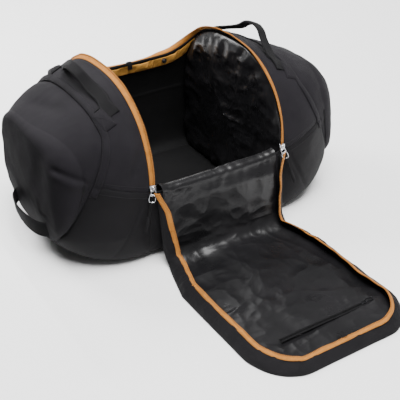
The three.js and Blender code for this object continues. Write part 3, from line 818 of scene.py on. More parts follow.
def add_storm_flap(name, rows):
    """The folded strip that shelters the pocket zip, with a squared, stitched end at each foot."""
    picked = np.concatenate([rows[:, -7:-1], rows[:, :FRONT_COLUMN + 7]], 1)[::-1]
    picked = picked[:, picked[0, :, 2] > COVER_Z - 0.030]
    # Each line of the strip: how far back from the seam it lies, and how high it stands.
    profile = [(0.0005, 0.0004), (0.0015, 0.0026), (0.0035, 0.0034), (0.0065, 0.0038), (0.0095, 0.0040),
               (0.0125, 0.0038), (0.0150, 0.0034), (0.0168, 0.0028), (0.0178, 0.0016), (0.0180, 0.0001)]
    back, height = np.array(profile).T[..., None]
    travel, columns = arc_lengths(picked, 0), np.arange(picked.shape[1])
    strip = np.stack([sample(picked[:, j], travel[:, j], back[:, 0]) for j in columns], 1)
    taper = np.clip(np.minimum(columns, columns[::-1]) / 1.5, 0.1, 1)
    wobble = 0.0008 * smooth_noise(strip, 0.02, 5) + 0.0009 * smooth_noise(strip, 0.05, 6)
    strip = lifted(strip, (height + wobble * np.clip(height / 0.003, 0, 1)) * taper, FORM_MIDDLE)
    piece = sheet(f"{name}_storm_strip", strip, OUTER, FORM_MIDDLE, 0.0012)
    finish_piece(piece, "bag", "outer_cloth", f"{name}_storm_flap")
    normals = outward(strip, FORM_MIDDLE)
    for k, row in enumerate((2, 7)):
        add_stitches(f"{name}_storm_stitch_{k}", strip[row], normals[row], "bag", "outer_cloth", 0.0003)


def add_partition(name, side):
    """Crumpled tarpaulin between the boot compartment and the end pocket."""
    ring = skin(ARCH_X, np.linspace(0, 2, 241))
    hub = np.array([ARCH_X, ARCH_Y, 0.19])
    depth = np.linspace(0, 1, 60)[:, None]
    v = depth[..., None]
    rows = ring * (1 - v) + hub * v - unit(ring - hub) * 0.0052 * (1 - v)
    rows[..., 0] = PARTITION_X
    rows[..., 2] = np.maximum(rows[..., 2], 0.0078)
    seed = 21 if side < 0 else 83
    gathers = np.sin(arc_lengths(rows, 1)[:1] / 0.0085 + 3 * smooth_noise(rows, 0.06, 9))
    gathers *= bell(depth - 0.10, 0.10) * np.clip(0.4 + smooth_noise(rows, 0.07, seed + 5), 0, 1)
    bulge = 0.0095 + 0.0125 * crumple(rows, 0.12, seed, 5) + 0.0040 * folds(rows, 0.2, 7, 2)
    bulge += 0.0030 * gathers
    rows[..., 0] -= np.clip(bulge, -0.001, 0.024) * np.sin(np.pi / 2 * np.clip(depth / 0.16, 0, 1)) ** 0.8
    rows, away = mirror_x(rows, side)[:, :-1], (side * 0.4, 0.0, 0.2)
    piece = sheet(f"{name}_partition_sheet", rows, TARP, away, 0.0009, wrap=True, close_end=True)
    finish_piece(piece, "bag", "tarpaulin", f"{name}_partition")


# ------------------------------------------------------------------ the middle of the bag
def sagged(points):
    """The rear edge dips a little between the arches."""
    share = np.clip((points[..., 2] - 0.20) / (EDGE_Z - 0.20), 0, 1) ** 2
    dip = 0.0055 * share * np.clip(1 - (points[..., 0] / ARCH_X) ** 2, 0, 1) * (points[..., 1] > 0)
    return points - dip[..., None] * np.array([0, 0, 1])


def centre_rows(turns):
    """Rows along x over part of the middle section, one at each turn."""
    rows = skin(np.full((len(turns), 97), ARCH_X), turns[:, None] % 2)
    rows[..., 0] = np.linspace(-ARCH_X, ARCH_X, 97)
    return rows


def add_centre():
    hold = 1 - np.abs(np.linspace(-1, 1, 97)) ** 8
    down = np.linspace(0, 1, 62)[:, None]
    rows = centre_rows(np.linspace(1.0, FRONT_FOOT, 62))
    push = (0.0015 * folds(rows, 0.13, 31, 3) + 0.0016 * np.sin(np.pi * down)) * hold * hump(down, 0.5)
    rows = lifted(rows, push, FORM_MIDDLE)
    middle = np.clip(1 - (np.abs(rows[..., 0]) / 0.174) ** 6, 0, 1)
    rows[..., 2] -= (FOLD_SAG + 0.002) * middle * (1 - down) ** 6
    add_wall("front_wall_cloth", rows, BASE_AND_RIM_SHADE, "bag", "base_cloth", ["front_wall"], 0.3)

    rows = centre_rows(np.linspace(FRONT_FOOT, BACK_FOOT, 70))
    piece = sheet("base_cloth_panel", rows, [BASE_AND_RIM_SHADE, LINING], FORM_MIDDLE, CLOTH)
    finish_piece(piece, "bag", "base_cloth", "base_panel")

    turns = np.concatenate([np.linspace(BACK_FOOT - 2, 0, 50)[:-1], np.linspace(0, EDGE_TURN, 40)])
    rows = sagged(centre_rows(turns))
    edge = np.clip((EDGE_Z + 0.004 - rows[..., 2]) / 0.03, 0, 1)
    push = (0.0030 * folds(rows, 0.12, 41, 3) + 0.0010 * crumple(rows, 0.07, 45, 3)) * hold * edge
    rows = lifted(rows, push - 0.0020 * bell(rows[..., 2] - WAIST_Z, 0.003), FORM_MIDDLE)
    add_wall("back_wall_cloth", rows, OUTER, "bag", "outer_cloth", ["back_wall"], 0.3)
    add_back_tab()
    add_floor_cover()


def add_floor_cover():
    """The loose cover over the stiff sole."""
    half_x, half_y, middle_y = 0.176, 0.200, 0.012
    u, v = np.meshgrid(np.linspace(-1, 1, 90), np.linspace(-1, 1, 100))
    rows = np.stack([u * half_x, middle_y + v * half_y, np.zeros_like(u)], -1)
    inside = 1 - np.maximum(np.abs(u), np.abs(v)) ** 10
    rows[..., 2] = 0.0088 + inside * (0.0014 + 0.0010 * crumple(rows, 0.1, 61, 4))
    piece = sheet("floor_cover", rows, LINING, (0, 0, -1), 0.0008)
    finish_piece(piece, "bag", "board", "base_stiffener")


def add_back_tab():
    """Short loop of webbing over the middle of the rear edge, between two studs."""
    top = wall_point(np.array([0.0]), np.array([EDGE_TRAVEL]))[0]
    bends = [(0, 0.0050, -0.016), (0, 0.0040, -0.003), (0, 0.0010, 0.0060),
             (0, -0.0040, 0.0068), (0, -0.0080, 0.0010), (0, -0.0085, -0.012)]
    tab = strap("back_tab_loop", smooth_path(top + bends, 26), ACROSS, 0.013, 0.0020, WEBBING)
    finish_piece(tab, "bag", "binding", "back_tab")
    for side, _ in SIDES:
        add_snap(f"back_snap_{side}")


def add_snap(name):
    """A press stud with a domed, ringed face, leaning with the wall."""
    low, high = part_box(name)
    centre = np.array((low + high) / 2)
    centre[1] -= 0.0030
    profile = [(0.0, 0.0), (0.0070, 0.0), (0.0072, 0.0008), (0.0066, 0.0016), (0.0048, 0.0018),
               (0.0042, 0.0012), (0.0036, 0.0014), (0.0030, 0.0026), (0.0012, 0.0030), (0.0001, 0.0030)]
    lean = 0.28
    axis = np.array([0, -math.cos(lean), math.sin(lean)])
    angle = np.linspace(0, 2 * np.pi, 28, endpoint=False)[:, None]
    spoke = np.cos(angle) * np.array(ACROSS) + np.sin(angle) * np.cross(axis, ACROSS)
    rows = np.array([centre + axis * height + radius * spoke for radius, height in profile])
    piece = sheet(f"{name}_stud", rows, BLACK_METAL, centre - axis * 0.02, wrap=True)
    finish_piece(piece, "bag", "snap", name)


# ------------------------------------------------------------------ zips over the opening
CORNER_RADIUS = 0.080                                # rounds the rear corners of the opening


def wall_point(x, travel):
    """Points of the middle section at x, travel metres up its skin from the back waist."""
    points = skin(ARCH_X, np.asarray(travel) / RING_LENGTH)
    points[..., 0] = x
    return sagged(points)


def corner_point(angle, radius):
    """Points round the centre of a rear corner; at angle 0 they lie on the arch, at 90 on the rear edge."""
    x = ARCH_X - CORNER_RADIUS + radius * np.cos(angle)
    return wall_point(x, EDGE_TRAVEL + CORNER_RADIUS - radius * np.sin(angle))


def opening_outline():
    """Edge of the opening on the right-hand side: path, outward normal, direction into the opening, and place
    along it, which is under 1 on the arch, 1 to 2 round the corner and over 2 on the rear edge."""
    arch = wall_point(ARCH_X - 0.0002, np.linspace(0.998 * RING_LENGTH, EDGE_TRAVEL + CORNER_RADIUS, 190))
    corner = corner_point(np.linspace(0, np.pi / 2, 46)[1:], CORNER_RADIUS - 0.0002)
    x = np.linspace(ARCH_X - CORNER_RADIUS, 0, 50)[1:]
    rear = wall_point(x, np.full_like(x, EDGE_TRAVEL))
    path = np.concatenate([arch, corner, rear])
    place = np.concatenate([np.linspace(0, 1, 190), np.linspace(1, 2, 46)[1:], np.linspace(2, 3, 50)[1:]])
    ahead = unit(np.gradient(path, axis=0))
    slope = unit(np.stack([np.zeros(len(path)), path[:, 1] - ARCH_Y, (path[:, 2] - 0.20) * 1.2], -1))
    into = unit(np.cross(slope, ahead))
    if into[0, 0] > 0:
        into = -into
    out = unit(np.cross(ahead, into))
    out *= np.sign((out * slope).sum(-1, keepdims=True))
    return path, out, into, place


def add_opening_edge(name, side):
    """Zip tape that stands up round the edge of the opening, its teeth, the binding and the topstitching."""
    path, out, into, place = (mirror_x(v, side) if v.ndim > 1 else v for v in opening_outline())
    raised = between(place, [(0, 0.2), (0.03, 0.45), (0.15, 0.60), (0.6, 0.50), (1.0, 0.60), (1.6, 1.1),
                             (2.1, 1.7), (2.5, 2.5), (3.0, 2.9)])
    raised = raised + 0.10 * smooth_noise(path, 0.07, 14 + side)
    width = between(place, [(0, 0.008), (0.04, 0.0105), (0.5, 0.0130), (2.0, 0.0130), (3.0, 0.0125)])
    v = np.linspace(0, 1, 9)[:, None]
    turn, reach = (raised * (0.35 + 0.65 * v))[..., None], (width * v)[..., None]
    rows = path + out * 0.0012 + into * np.cos(turn) * reach + out * np.sin(turn) * reach
    rows = rows + 0.0012 * smooth_noise(rows, 0.03, 18)[..., None] * out * v[..., None]
    inside = (side * 0.02, 0.0, 0.0)
    tape = sheet(f"{name}_arch_tape", rows, TAPE, inside, 0.0010)
    finish_piece(tape, "bag", "zip_tape", f"{name}_arch_zip_tape", *(["back_zip_tape"] if side > 0 else []))
    normals = outward(rows, inside)
    add_teeth(f"{name}_arch_teeth", rows[-1], normals[-1], "bag")
    add_stitches(f"{name}_tape_stitch", rows[1], normals[1], "bag", "zip_tape", thread=AMBER_THREAD)
    arch = place < 1
    add_stitches(f"{name}_arch_stitch", (path - into * 0.0085)[arch], out[arch], "bag", "outer_cloth", 0.0014)

    size = between(place, [(0, 0.0022), (1, 0.0026), (1.6, 0.0044), (3, 0.0050)])
    size = (size * (1 + 0.12 * smooth_noise(path, 0.012, 3)))[:, None, None]
    angle = np.linspace(0, 2 * np.pi, 14, endpoint=False)[None, :, None]
    ring = out[:, None] * np.cos(angle) * 0.72 + into[:, None] * np.sin(angle)
    centre = path + into * 0.0010 - out * 0.0014
    binding = tube(f"{name}_edge_binding", centre[:, None] + ring * size, BINDING, centre.mean(0))
    finish_piece(binding, "bag", "binding")


def add_rear_corner(name, side):
    """Cloth that rounds each rear corner of the opening."""
    angle, share = np.linspace(0.0, np.pi / 2, 41), np.linspace(0, 1, 14)[:, None]
    to_square = CORNER_RADIUS / np.maximum(np.abs(np.cos(angle)), np.abs(np.sin(angle))) - CORNER_RADIUS
    rows = mirror_x(corner_point(angle, CORNER_RADIUS + to_square * share), side)
    piece = sheet(f"{name}_corner_cloth", rows, [OUTER, LINING], FORM_MIDDLE, CLOTH)
    finish_piece(piece, "bag", "outer_cloth")


def add_facing(name, side):
    """Wrinkled facing inside half of the rear edge and up into its corner."""
    width, arch_gap = 0.034, 0.0068
    angle, share = np.linspace(0.12, np.pi / 2, 44), np.linspace(0.04, 1, 22)[:, None]
    room = np.where(np.cos(angle) > 1e-6, (CORNER_RADIUS - arch_gap) / np.cos(angle), 9) - CORNER_RADIUS
    corner = corner_point(angle, CORNER_RADIUS + np.clip(room, 0.0006, width) * share)
    x = np.linspace(ARCH_X - CORNER_RADIUS, 0, 90)[1:]
    rear = wall_point(x, EDGE_TRAVEL - width * share + np.zeros_like(x))
    rows = lifted(np.concatenate([corner, rear], 1), -0.0044, FORM_MIDDLE)
    wrinkle = 0.0060 * crumple(rows * np.array([1.0, 0.4, 0.3]) + side, 0.026, 91, 3)
    wrinkle += 0.0022 * folds(rows, 0.03, 95, 2)
    swell = np.clip(0.0024 + wrinkle, 0.0002, 0.0110) * hump(share, 0.5, 0.04, 0.97)
    rows = mirror_x(lifted(rows, -swell, FORM_MIDDLE), side)
    inside = (0, 1.0, 0.45)
    # The facing material's brightness is partly painted light, for the shade inside the rear edge.
    facing = sheet(f"{name}_facing_cloth", rows, FACING, inside, 0.0006)
    finish_piece(facing, "bag", "facing", *(["back_facing"] if side > 0 else []))
    normals = outward(rows, inside)
    add_stitches(f"{name}_facing_stitch", rows[-2], normals[-2], "bag", "facing", thread=AMBER_THREAD)


# ------------------------------------------------------------------ handles and straps
def halves(path, near, far):
    """The front and the rear half of a strap: word, slice, y of its foot, and which way its middle lies."""
    half = len(path) // 2
    return ("front", slice(0, half + 1), near, 1), ("rear", slice(half, len(path)), far, -1)


def add_stitched_band(name, path, across, width, thick, border, outside, body, nodes, around, skipped):
    """Webbing with a line of stitches along each border, on its outside. The first few points are skipped."""
    finish_piece(strap(name, path, across, width, thick, WEBBING, around, False), body, "webbing", *nodes)
    out = unit(np.cross(across, np.gradient(path, axis=0)))
    out *= np.sign(out @ outside)[:, None]
    edge = across * (width[:, None] / 2 - border)
    shown = slice(skipped, -2)
    lift = (thick[:, None] / 2 + 0.0002)[shown]
    for k, side in enumerate((-1, 1)):
        add_stitches(f"{name}_stitch_{k}", (path + edge * side)[shown], out[shown], body, "webbing", lift)


def add_top_handle(name, side, cloth):
    """Webbing loop whose feet lie on the bag, each under a stitched patch."""
    low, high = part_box(f"{name}_top_handle")
    near, far, middle = low.y, high.y, (low.y + high.y) / 2
    lean = math.radians(25)
    tilt = np.array([side * math.sin(lean), 0, math.cos(lean)])
    across = np.array([side * math.cos(lean), 0, -math.sin(lean)])

    def handle_x(y):
        """The front foot is spread outwards a little."""
        return side * (HANDLE_X + 0.020 * min(max((near + 0.02 - y) / 0.06, 0), 1))

    def on_cloth(y, lift):
        return drop(cloth, (handle_x(y), y, 0.42), -tilt)[0] + tilt * lift

    rise = [(0.070, 0.0010), (0.055, 0.0018), (0.040, 0.0028), (0.022, 0.0060)]
    crown = [(-0.046, 0.3990), (-0.022, 0.4155), (middle, 0.4225), (0.036, 0.4155), (0.059, 0.3990)]
    base_z = on_cloth(middle, 0.0)[2]
    points = [on_cloth(near - out, up) for out, up in rise]
    points += [np.array([side * HANDLE_X, y, base_z]) + tilt * (z - base_z) for y, z in crown]
    points += [on_cloth(far + out, up) for out, up in rise[::-1]]
    path = smooth_path(points, 121)
    grip = np.exp(-((np.linspace(-1, 1, len(path)) / 0.42) ** 6))
    width, thick = 0.030 - 0.0050 * grip, 0.0034 + 0.0044 * grip
    sideways = np.tile(across, (len(path), 1))
    for word, part, foot_y, step in halves(path, near, far):
        label = f"{name}_handle_{word}"
        nodes = [f"{label}_anchor"] + ([f"{name}_top_handle"] if word == "front" else [])
        start, end = ((side * HANDLE_X, foot_y + step * shift, 0.385) for shift in (-0.030, 0.016))
        add_stitched_band(label, path[part], sideways[part], width[part], thick[part], 0.0034, tilt,
                          ("bag", f"{name}_top_handle", start, end), nodes, 20, 4)
        x, y = handle_x(foot_y - step * 0.07), foot_y - step * 0.064
        add_handle_patch(label, x, y, step, cloth, tilt, across)


def add_handle_patch(name, x, y, step, cloth, tilt, across):
    """The reinforcement that the webbing passes through, with a crossed box of stitches."""
    width, length, below = 0.033, 0.050, (0, 0, 0.1)
    count_y, count_x = 27, 17
    rows = np.zeros((count_y, count_x, 3))
    for i, v in enumerate(np.linspace(-1, 1, count_y)):
        for j, u in enumerate(np.linspace(-1, 1, count_x)):
            start = np.array([x, y + v * length / 2, 0.36]) + across * u * width / 2
            place, normal = drop(cloth, start, -tilt)
            edge = max(abs(u), abs(v))
            webbing = 0.0030 * min((1 - abs(u)) / 0.25, 1)
            rows[i, j] = place + normal * (0.0020 * (1 - edge ** 8) + 0.0004 + webbing * (1 - edge ** 6))
    finish_piece(sheet(f"{name}_patch", rows, OUTER, below, 0.0008), "bag", "webbing")
    lip = (rows[-1] if step > 0 else rows[0]) + tilt * 0.0016
    finish_piece(strap(f"{name}_slot", lip, (0, 1, 0), 0.0052, 0.0030, BINDING, 12), "bag", "webbing")
    normals = outward(rows, below)
    last_i, last_j = count_y - 3, count_x - 3
    border = [(i, 2) for i in range(2, last_i + 1)] + [(last_i, j) for j in range(3, last_j + 1)]
    border += [(i, last_j) for i in range(last_i - 1, 1, -1)] + [(2, j) for j in range(last_j - 1, 1, -1)]
    at = tuple(np.array(border).T)
    add_stitches(f"{name}_patch_box", rows[at], normals[at], "bag", "webbing")
    v = np.linspace(0, 1, 12)
    for k, u in enumerate((v, 1 - v)):
        at = tuple(np.round([2 + (last_i - 2) * v, 2 + (last_j - 2) * u]).astype(int))
        add_stitches(f"{name}_patch_cross_{k}", rows[at], normals[at], "bag", "webbing", 0.0005)


def add_end_strap(name, side):
    """Wide grab strap that bows out from the foot of the end."""
    points = [(0.376, -0.106), (0.3875, -0.092), (0.3965, -0.078), (0.402, -0.060),
              (0.406, -0.030), (0.407, -0.004), (0.406, 0.022), (0.402, 0.052),
              (0.3965, 0.070), (0.3875, 0.082), (0.376, 0.094)]
    flat = smooth_path(points, 101)
    share = np.linspace(-1, 1, len(flat))
    bow = 1 - share**2
    path = np.stack([side * (flat[:, 0] + 0.002 * bow), flat[:, 1], STRAP_Z - 0.004 * bow], -1)
    lean = 0.10 * np.cos(share * 1.5) + 0.05 * np.sin(share * 4)
    across = np.stack([side * np.sin(lean), np.zeros_like(lean), np.cos(lean)], -1)
    width, thick = np.full(len(path), 0.040), np.full(len(path), 0.0034)
    for word, part, foot_y, step in halves(path, -0.065, 0.055):
        start, end = ((side * 0.40, foot_y + step * shift, STRAP_Z) for shift in (-0.018, 0.022))
        add_stitched_band(f"{name}_strap_{word}", path[part], across[part], width[part], thick[part], 0.0032,
                          (side, 0, 0), ("bag", f"{name}_end_strap", start, end),
                          [f"{name}_end_strap"] if word == "front" else [], 24, 3)


# ------------------------------------------------------------------ sliders
def add_main_slider(name, side):
    low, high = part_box(f"{name}_main_slider")
    x, front, z0, z1 = (low.x + high.x) / 2, low.y, low.z, high.z
    body = f"{name}_main_slider"

    def cast(part, x0, x1, y0, y1, bottom, top, *nodes):
        """One cast block, placed from the slider's middle and front."""
        start, end = (x + x0, front + y0, bottom), (x + x1, front + y1, top)
        block = rounded_block(f"{name}_slider_{part}", start, end, ZINC)
        finish_piece(block, body, "zinc", *nodes)

    cast("plate_0", -0.0066, 0.0066, 0.0030, 0.0049, z0, z1, body)
    cast("plate_1", -0.0066, 0.0066, -0.0003, 0.0016, z0, z1)
    cast("post", -0.0022, 0.0022, 0.001, 0.0038, z0 + 0.010, z1 - 0.001)
    cast("lip_0", -0.0065, -0.0047, 0.0, 0.0045, z0, z0 + 0.011)
    cast("lip_1", 0.0047, 0.0065, 0.0, 0.0045, z0, z0 + 0.011)
    bends = [(x, front + out, z) for out, z in
             ((0.0004, z0 + 0.002), (-0.0030, z0 + 0.0035), (-0.0040, z0 + 0.0075), (-0.0030, z1 - 0.0040),
              (0.0004, z1 - 0.0015))]
    bridge = strap(f"{name}_slider_bridge", smooth_path(bends, 26), ACROSS, 0.0034, 0.0013, ZINC, 12)
    finish_piece(bridge, body, "zinc")
    add_pull(name, side, x)


def add_pull(name, side, x):
    """Two square rings on the bridge and a webbing tab on a cord. It hangs down and a little outwards."""
    body = f"{name}_pull"
    pivot = JOINT[f"{name}_pull_swing"]["pos_m"]
    top = np.array([x, pivot[1] - 0.0006, pivot[2]])
    down = unit(np.array([side * 0.34, -0.16, -1.0]))
    across = unit(np.array([1.0, 0, side * 0.34]))
    turned = unit(np.cross(down, across) * 0.42 + across * 0.9)
    first = square_loop(top + down * 0.0045, down, across, 0.0125, 0.0120)
    second = square_loop(top + down * 0.0165, down, turned, 0.0170, 0.0140)
    finish_piece(wire(f"{name}_pull_ring_0", first, 0.00125, ZINC), body, "zinc", f"{name}_slider_pull")
    finish_piece(wire(f"{name}_pull_ring_1", second, 0.00125, ZINC), body, "zinc")
    knot = top + down * 0.0235
    cord = smooth_path([knot + down * far + across * out for far, out in
                        ((0, 0.0016), (0.012, 0.0018), (0.028, 0.0010), (0.040, 0))], 30)
    other = cord - across * 2 * ((cord - knot) @ across)[:, None]
    for k, path in enumerate((cord, other)):
        finish_piece(wire(f"{name}_pull_cord_{k}", path, 0.0013, BINDING, closed=False), body, "webbing")
    path = smooth_path([knot + down * far + (0, shift, 0) for far, shift in
                        ((0.036, 0), (0.050, -0.0004), (0.066, 0.0003), (0.0745, 0))], 24)
    tab = strap(f"{name}_pull_webbing", path, across, 0.0085, 0.0032, WEBBING)
    finish_piece(tab, body, "webbing", f"{name}_pull_tab")
    front = np.cross(across, down)
    fronts = np.tile(front * -np.sign(front[1]), (len(path), 1))
    add_stitches(f"{name}_pull_stitch", path[3:-2], fronts[3:-2], body, "webbing", 0.0017)


def add_pocket_slider(name):
    low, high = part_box(f"{name}_pocket_slider")
    body = f"{name}_pocket_slider"
    plate = rounded_block(f"{name}_pocket_plate", low, (high.x, low.y + 0.0026, high.z), BLACK_METAL)
    finish_piece(plate, body, "zinc", body)
    middle = ((low.x + high.x) / 2, high.y + 0.0008, low.z - 0.002)
    ring = square_loop(middle, (0, 0.15, -0.98), ACROSS, 0.019, 0.0085)
    finish_piece(wire(f"{name}_pocket_ring", ring, 0.0010, BLACK_METAL), body, "zinc")


# ------------------------------------------------------------------ the flap
RISER_DROP = (FOLD - FOOT).length
RISER_DOWN = np.array(FOOT - FOLD) / RISER_DROP
FOOT_RADIUS = 0.050
FOOT_ANGLE = math.pi / 2 - math.acos(-RISER_DOWN[2])
TANGENT = FOOT_RADIUS * math.tan(FOOT_ANGLE / 2)
FOOT_START = RISER_DROP - TANGENT                    # length along the flap where the foot starts to curve
MAT_START = FOOT_START + FOOT_RADIUS * FOOT_ANGLE    # and where it lies flat
FOOT_MIDDLE = (FOOT_START + MAT_START) / 2
MAT_END = -0.704                                     # y of the far edge


def mat_length(y):
    """The length along the flap at which the mat passes that y."""
    return MAT_START + (FOOT.y - TANGENT - y)


FLAP_LENGTH = mat_length(MAT_END)
CUTS = [                                             # between the bending pieces
    0.095,
    mat_length((FOOT.y + MAT_FOLDS[0].y) / 2 - 0.012),
    mat_length((MAT_FOLDS[0].y + MAT_FOLDS[1].y) / 2),
]
BEND = [
    ("bag", "flap_riser", (0, FOLD.y + 0.006, FOLD.z + 0.004), (0, FOLD.y - 0.006, FOLD.z - 0.022)),
    ("flap_riser", "mat_rear", (0, -0.2360, 0.052), (0, -0.292, 0.004)),
    ("mat_rear", "mat_middle", (0, MAT_FOLDS[0].y + 0.024, 0.006), (0, MAT_FOLDS[0].y - 0.024, 0.006)),
    ("mat_middle", "mat_front", (0, MAT_FOLDS[1].y + 0.024, 0.006), (0, MAT_FOLDS[1].y - 0.024, 0.006)),
]
PARTS = "abcd"                                       # the bending pieces, from the fold to the far edge
MAT_HALF = 0.194
FOLD_HALF = 0.168
HALF_WIDTHS = [(0.0, FOLD_HALF), (0.060, 0.167), (RISER_DROP, 0.164), (RISER_DROP + 0.110, MAT_HALF)]
CORNER = 0.146                                       # length of the rounded far corners
CORNER_STEPS = [(0.0, 0.001), (0.0, 0.042), (0.004, 0.066), (0.017, 0.098), (0.036, 0.122), (0.060, 0.138),
                (0.086, CORNER)]                     # (drawn in, further along the flap)
ROLL_RADIUS = 0.0095                                 # of the bend over the top of the front wall
ROLL_ANGLE = math.radians(172)
FOLD_SAG = 0.010                                     # dip of the fold between the sliders
TAPE_START = (0.014, 0.004, 0.010)                   # how far the flap's tape is drawn out to each slider
RIM_SIDE = (0, -0.42, 0.0)                           # the rim and its tape face away from this point


def flap_point(length, x, height):
    """From length down the flap, x across it and height above its underside, to a place in the frame.
    A length below 0 lies on the bend over the top of the front wall."""
    length, x, height = np.broadcast_arrays(*(np.asarray(v, float) for v in (length, x, height)))
    start, down = np.array([FOLD.y, FOLD.z]), RISER_DOWN[1:]
    out = np.array([down[1], -down[0]])
    over = np.clip(-length / ROLL_RADIUS, 0, ROLL_ANGLE)
    past = np.clip(-length - ROLL_RADIUS * ROLL_ANGLE, 0, None)
    foot = np.clip((length - FOOT_START) / FOOT_RADIUS, 0, FOOT_ANGLE)
    heading = math.atan2(out[1], out[0]) - over - foot
    normal = np.stack([np.cos(heading), np.sin(heading)], -1)
    along = np.stack([np.cos(heading + np.pi / 2), np.sin(heading + np.pi / 2)], -1)
    on_roll = start - out * ROLL_RADIUS + normal * ROLL_RADIUS - along * past[..., None]
    on_riser = start + down * np.clip(length, 0, FOOT_START)[..., None]
    on_mat = start + down * FOOT_START + out * FOOT_RADIUS - normal * FOOT_RADIUS
    on_mat = on_mat - np.array([1.0, 0.0]) * np.clip(length - MAT_START, 0, None)[..., None]
    below, beyond = (length < 0)[..., None], (length > FOOT_START)[..., None]
    place = np.where(below, on_roll, np.where(beyond, on_mat, on_riser)) + normal * height[..., None]
    sag = FOLD_SAG * np.clip(1 - (np.abs(x) / FOLD_HALF) ** 6, 0, 1)
    sag = sag * np.clip(1 - length / 0.10, 0, 1) ** 2 * np.clip(1 + (length + 0.012) / 0.03, 0, 1)
    return np.stack([x, place[..., 0], place[..., 1] - sag], -1)


def flap_outline():
    """(length, x) and the direction inwards round the flap's edge, from the left of the fold to the right."""
    far = FLAP_LENGTH - CORNER
    lengths = np.linspace(0.006, far, 150)
    side = np.stack([lengths, between(lengths, HALF_WIDTHS)], -1)
    corner = [(far + step, MAT_HALF - inset) for inset, step in CORNER_STEPS[1:]]
    right = smooth_path(np.concatenate([side, corner, [(FLAP_LENGTH, 0.054), (FLAP_LENGTH, 0.0)]]), 420)
    whole = np.concatenate([right * np.array([1, -1]), right[::-1][1:]])
    ahead = unit(np.gradient(whole, axis=0))
    return whole, np.stack([-ahead[:, 1], ahead[:, 0]], -1)


def flap_half(length, inset):
    """Half the width of the flap with its rounded far corners, drawn in by inset."""
    far = FLAP_LENGTH - CORNER
    corner = [(far + step, MAT_HALF - drawn_in) for drawn_in, step in CORNER_STEPS]
    return between(length + inset * (length > far), HALF_WIDTHS + corner) - inset


def runs(lengths):
    """(part, first, last) for each stretch on one bending piece. Neighbours share a point."""
    marks = np.searchsorted(CUTS, lengths)
    starts = [0] + [int(i) for i in np.nonzero(np.diff(marks))[0] + 1]
    ends = starts[1:] + [len(marks)]
    return [(int(marks[first]), first, min(last + 1, len(marks))) for first, last in zip(starts, ends)]


def flap_pieces(name, rows, lengths, material, away, slot, nodes, thick=0.0, declare=None):
    """Cuts a grid whose columns run along the flap into its bending pieces."""
    found, normals, nodes = runs(lengths), outward(rows, away), dict(nodes)
    for run, (part, first, last) in enumerate(found):
        label = f"{name}_{PARTS[part]}" + (f"_{run}" if len(found) > len(PARTS) else "")
        piece = sheet(label, rows[:, first:last], material, away, thick)
        if not thick:
            # Each cut edge is shaded as if the cloth went on, so that no line shows there.
            shading = [tuple(map(float, n)) for n in normals[:, first:last].reshape(-1, 3)]
            piece.data.normals_split_custom_set_from_vertices(shading)
        finish_piece(piece, BEND[part], slot, *nodes.pop(part, ()))
        if declare:
            declare(piece, first, last)


def add_flap_underside():
    """Outer cloth that lies on the floor and faces out when the flap is shut."""
    lengths = np.linspace(0.004, FLAP_LENGTH - 0.0015, 260)
    across = np.linspace(-1, 1, 121)[:, None]
    x = across * flap_half(lengths, 0.0015)
    rise = 0.0012 + 0.0010 * folds(flap_point(lengths, x, 0.0), 0.09, 111, 3) * (1 - np.abs(across) ** 6)
    rows = flap_point(lengths, x, np.clip(rise, 0.0004, 0.003))
    nodes = {1: ("flap_riser", "mat_rear"), 2: ("mat_middle",), 3: ("mat_front",)}
    flap_pieces("flap_underside", rows, lengths, OUTER, (0, -0.45, 0.5), "outer_cloth", nodes,
                declare=lambda piece, first, last: piece)


def liner_height(points, length, across):
    """Padded tarpaulin: quilted by its crumples, drawn down at its edges, tight over the fold."""
    height = 0.0085 + 0.0055 * crumple(points, 0.13, 121, 3) + 0.0030 * folds(points, 0.16, 127, 2)
    height += 0.0014 * crumple(points, 0.045, 133, 2)
    edge = np.clip((1 - np.abs(across)) / 0.10, 0, 1)
    height = height * (0.55 + 0.45 * np.sin(np.pi / 2 * edge))
    lying = np.clip(height + 0.0008 * bell(length - FOOT_MIDDLE, 0.03), 0.0046, 0.0165)
    gathers = 0.0006 * np.sin(points[..., 0] / 0.0042 + 4 * smooth_noise(points, 0.05, 131))
    gathers = gathers * np.clip(smooth_noise(points, 0.08, 135) + 0.3, 0, 1)
    rolled = np.clip(0.0036 + 0.0018 * crumple(points, 0.05, 137, 3) + gathers, 0.0012, 0.0062)
    share = ease(length / 0.045)
    return rolled * (1 - share) + lying * share


def add_flap_liner():
    inset = 0.012
    rolled, lying = np.linspace(-0.042, 0.030, 60), np.linspace(0.030, FLAP_LENGTH - inset, 330)
    lengths = np.concatenate([rolled[:-1], lying])
    across = np.linspace(-1, 1, 161)[:, None]
    half = flap_half(lengths, inset)
    x = across * half
    rows = flap_point(lengths, x, liner_height(flap_point(lengths, x, 0.0), lengths, across))
    nodes = {
        0: ("fold_binding",),
        1: ("flap_riser_liner", "mat_rear_liner"),
        2: ("mat_middle_liner",),
        3: ("mat_front_liner",),
    }

    def declare(piece, first, last):
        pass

    flap_pieces("flap_tarp", rows, lengths, TARP, (0, -0.10, -0.3), "tarpaulin", nodes, declare=declare)


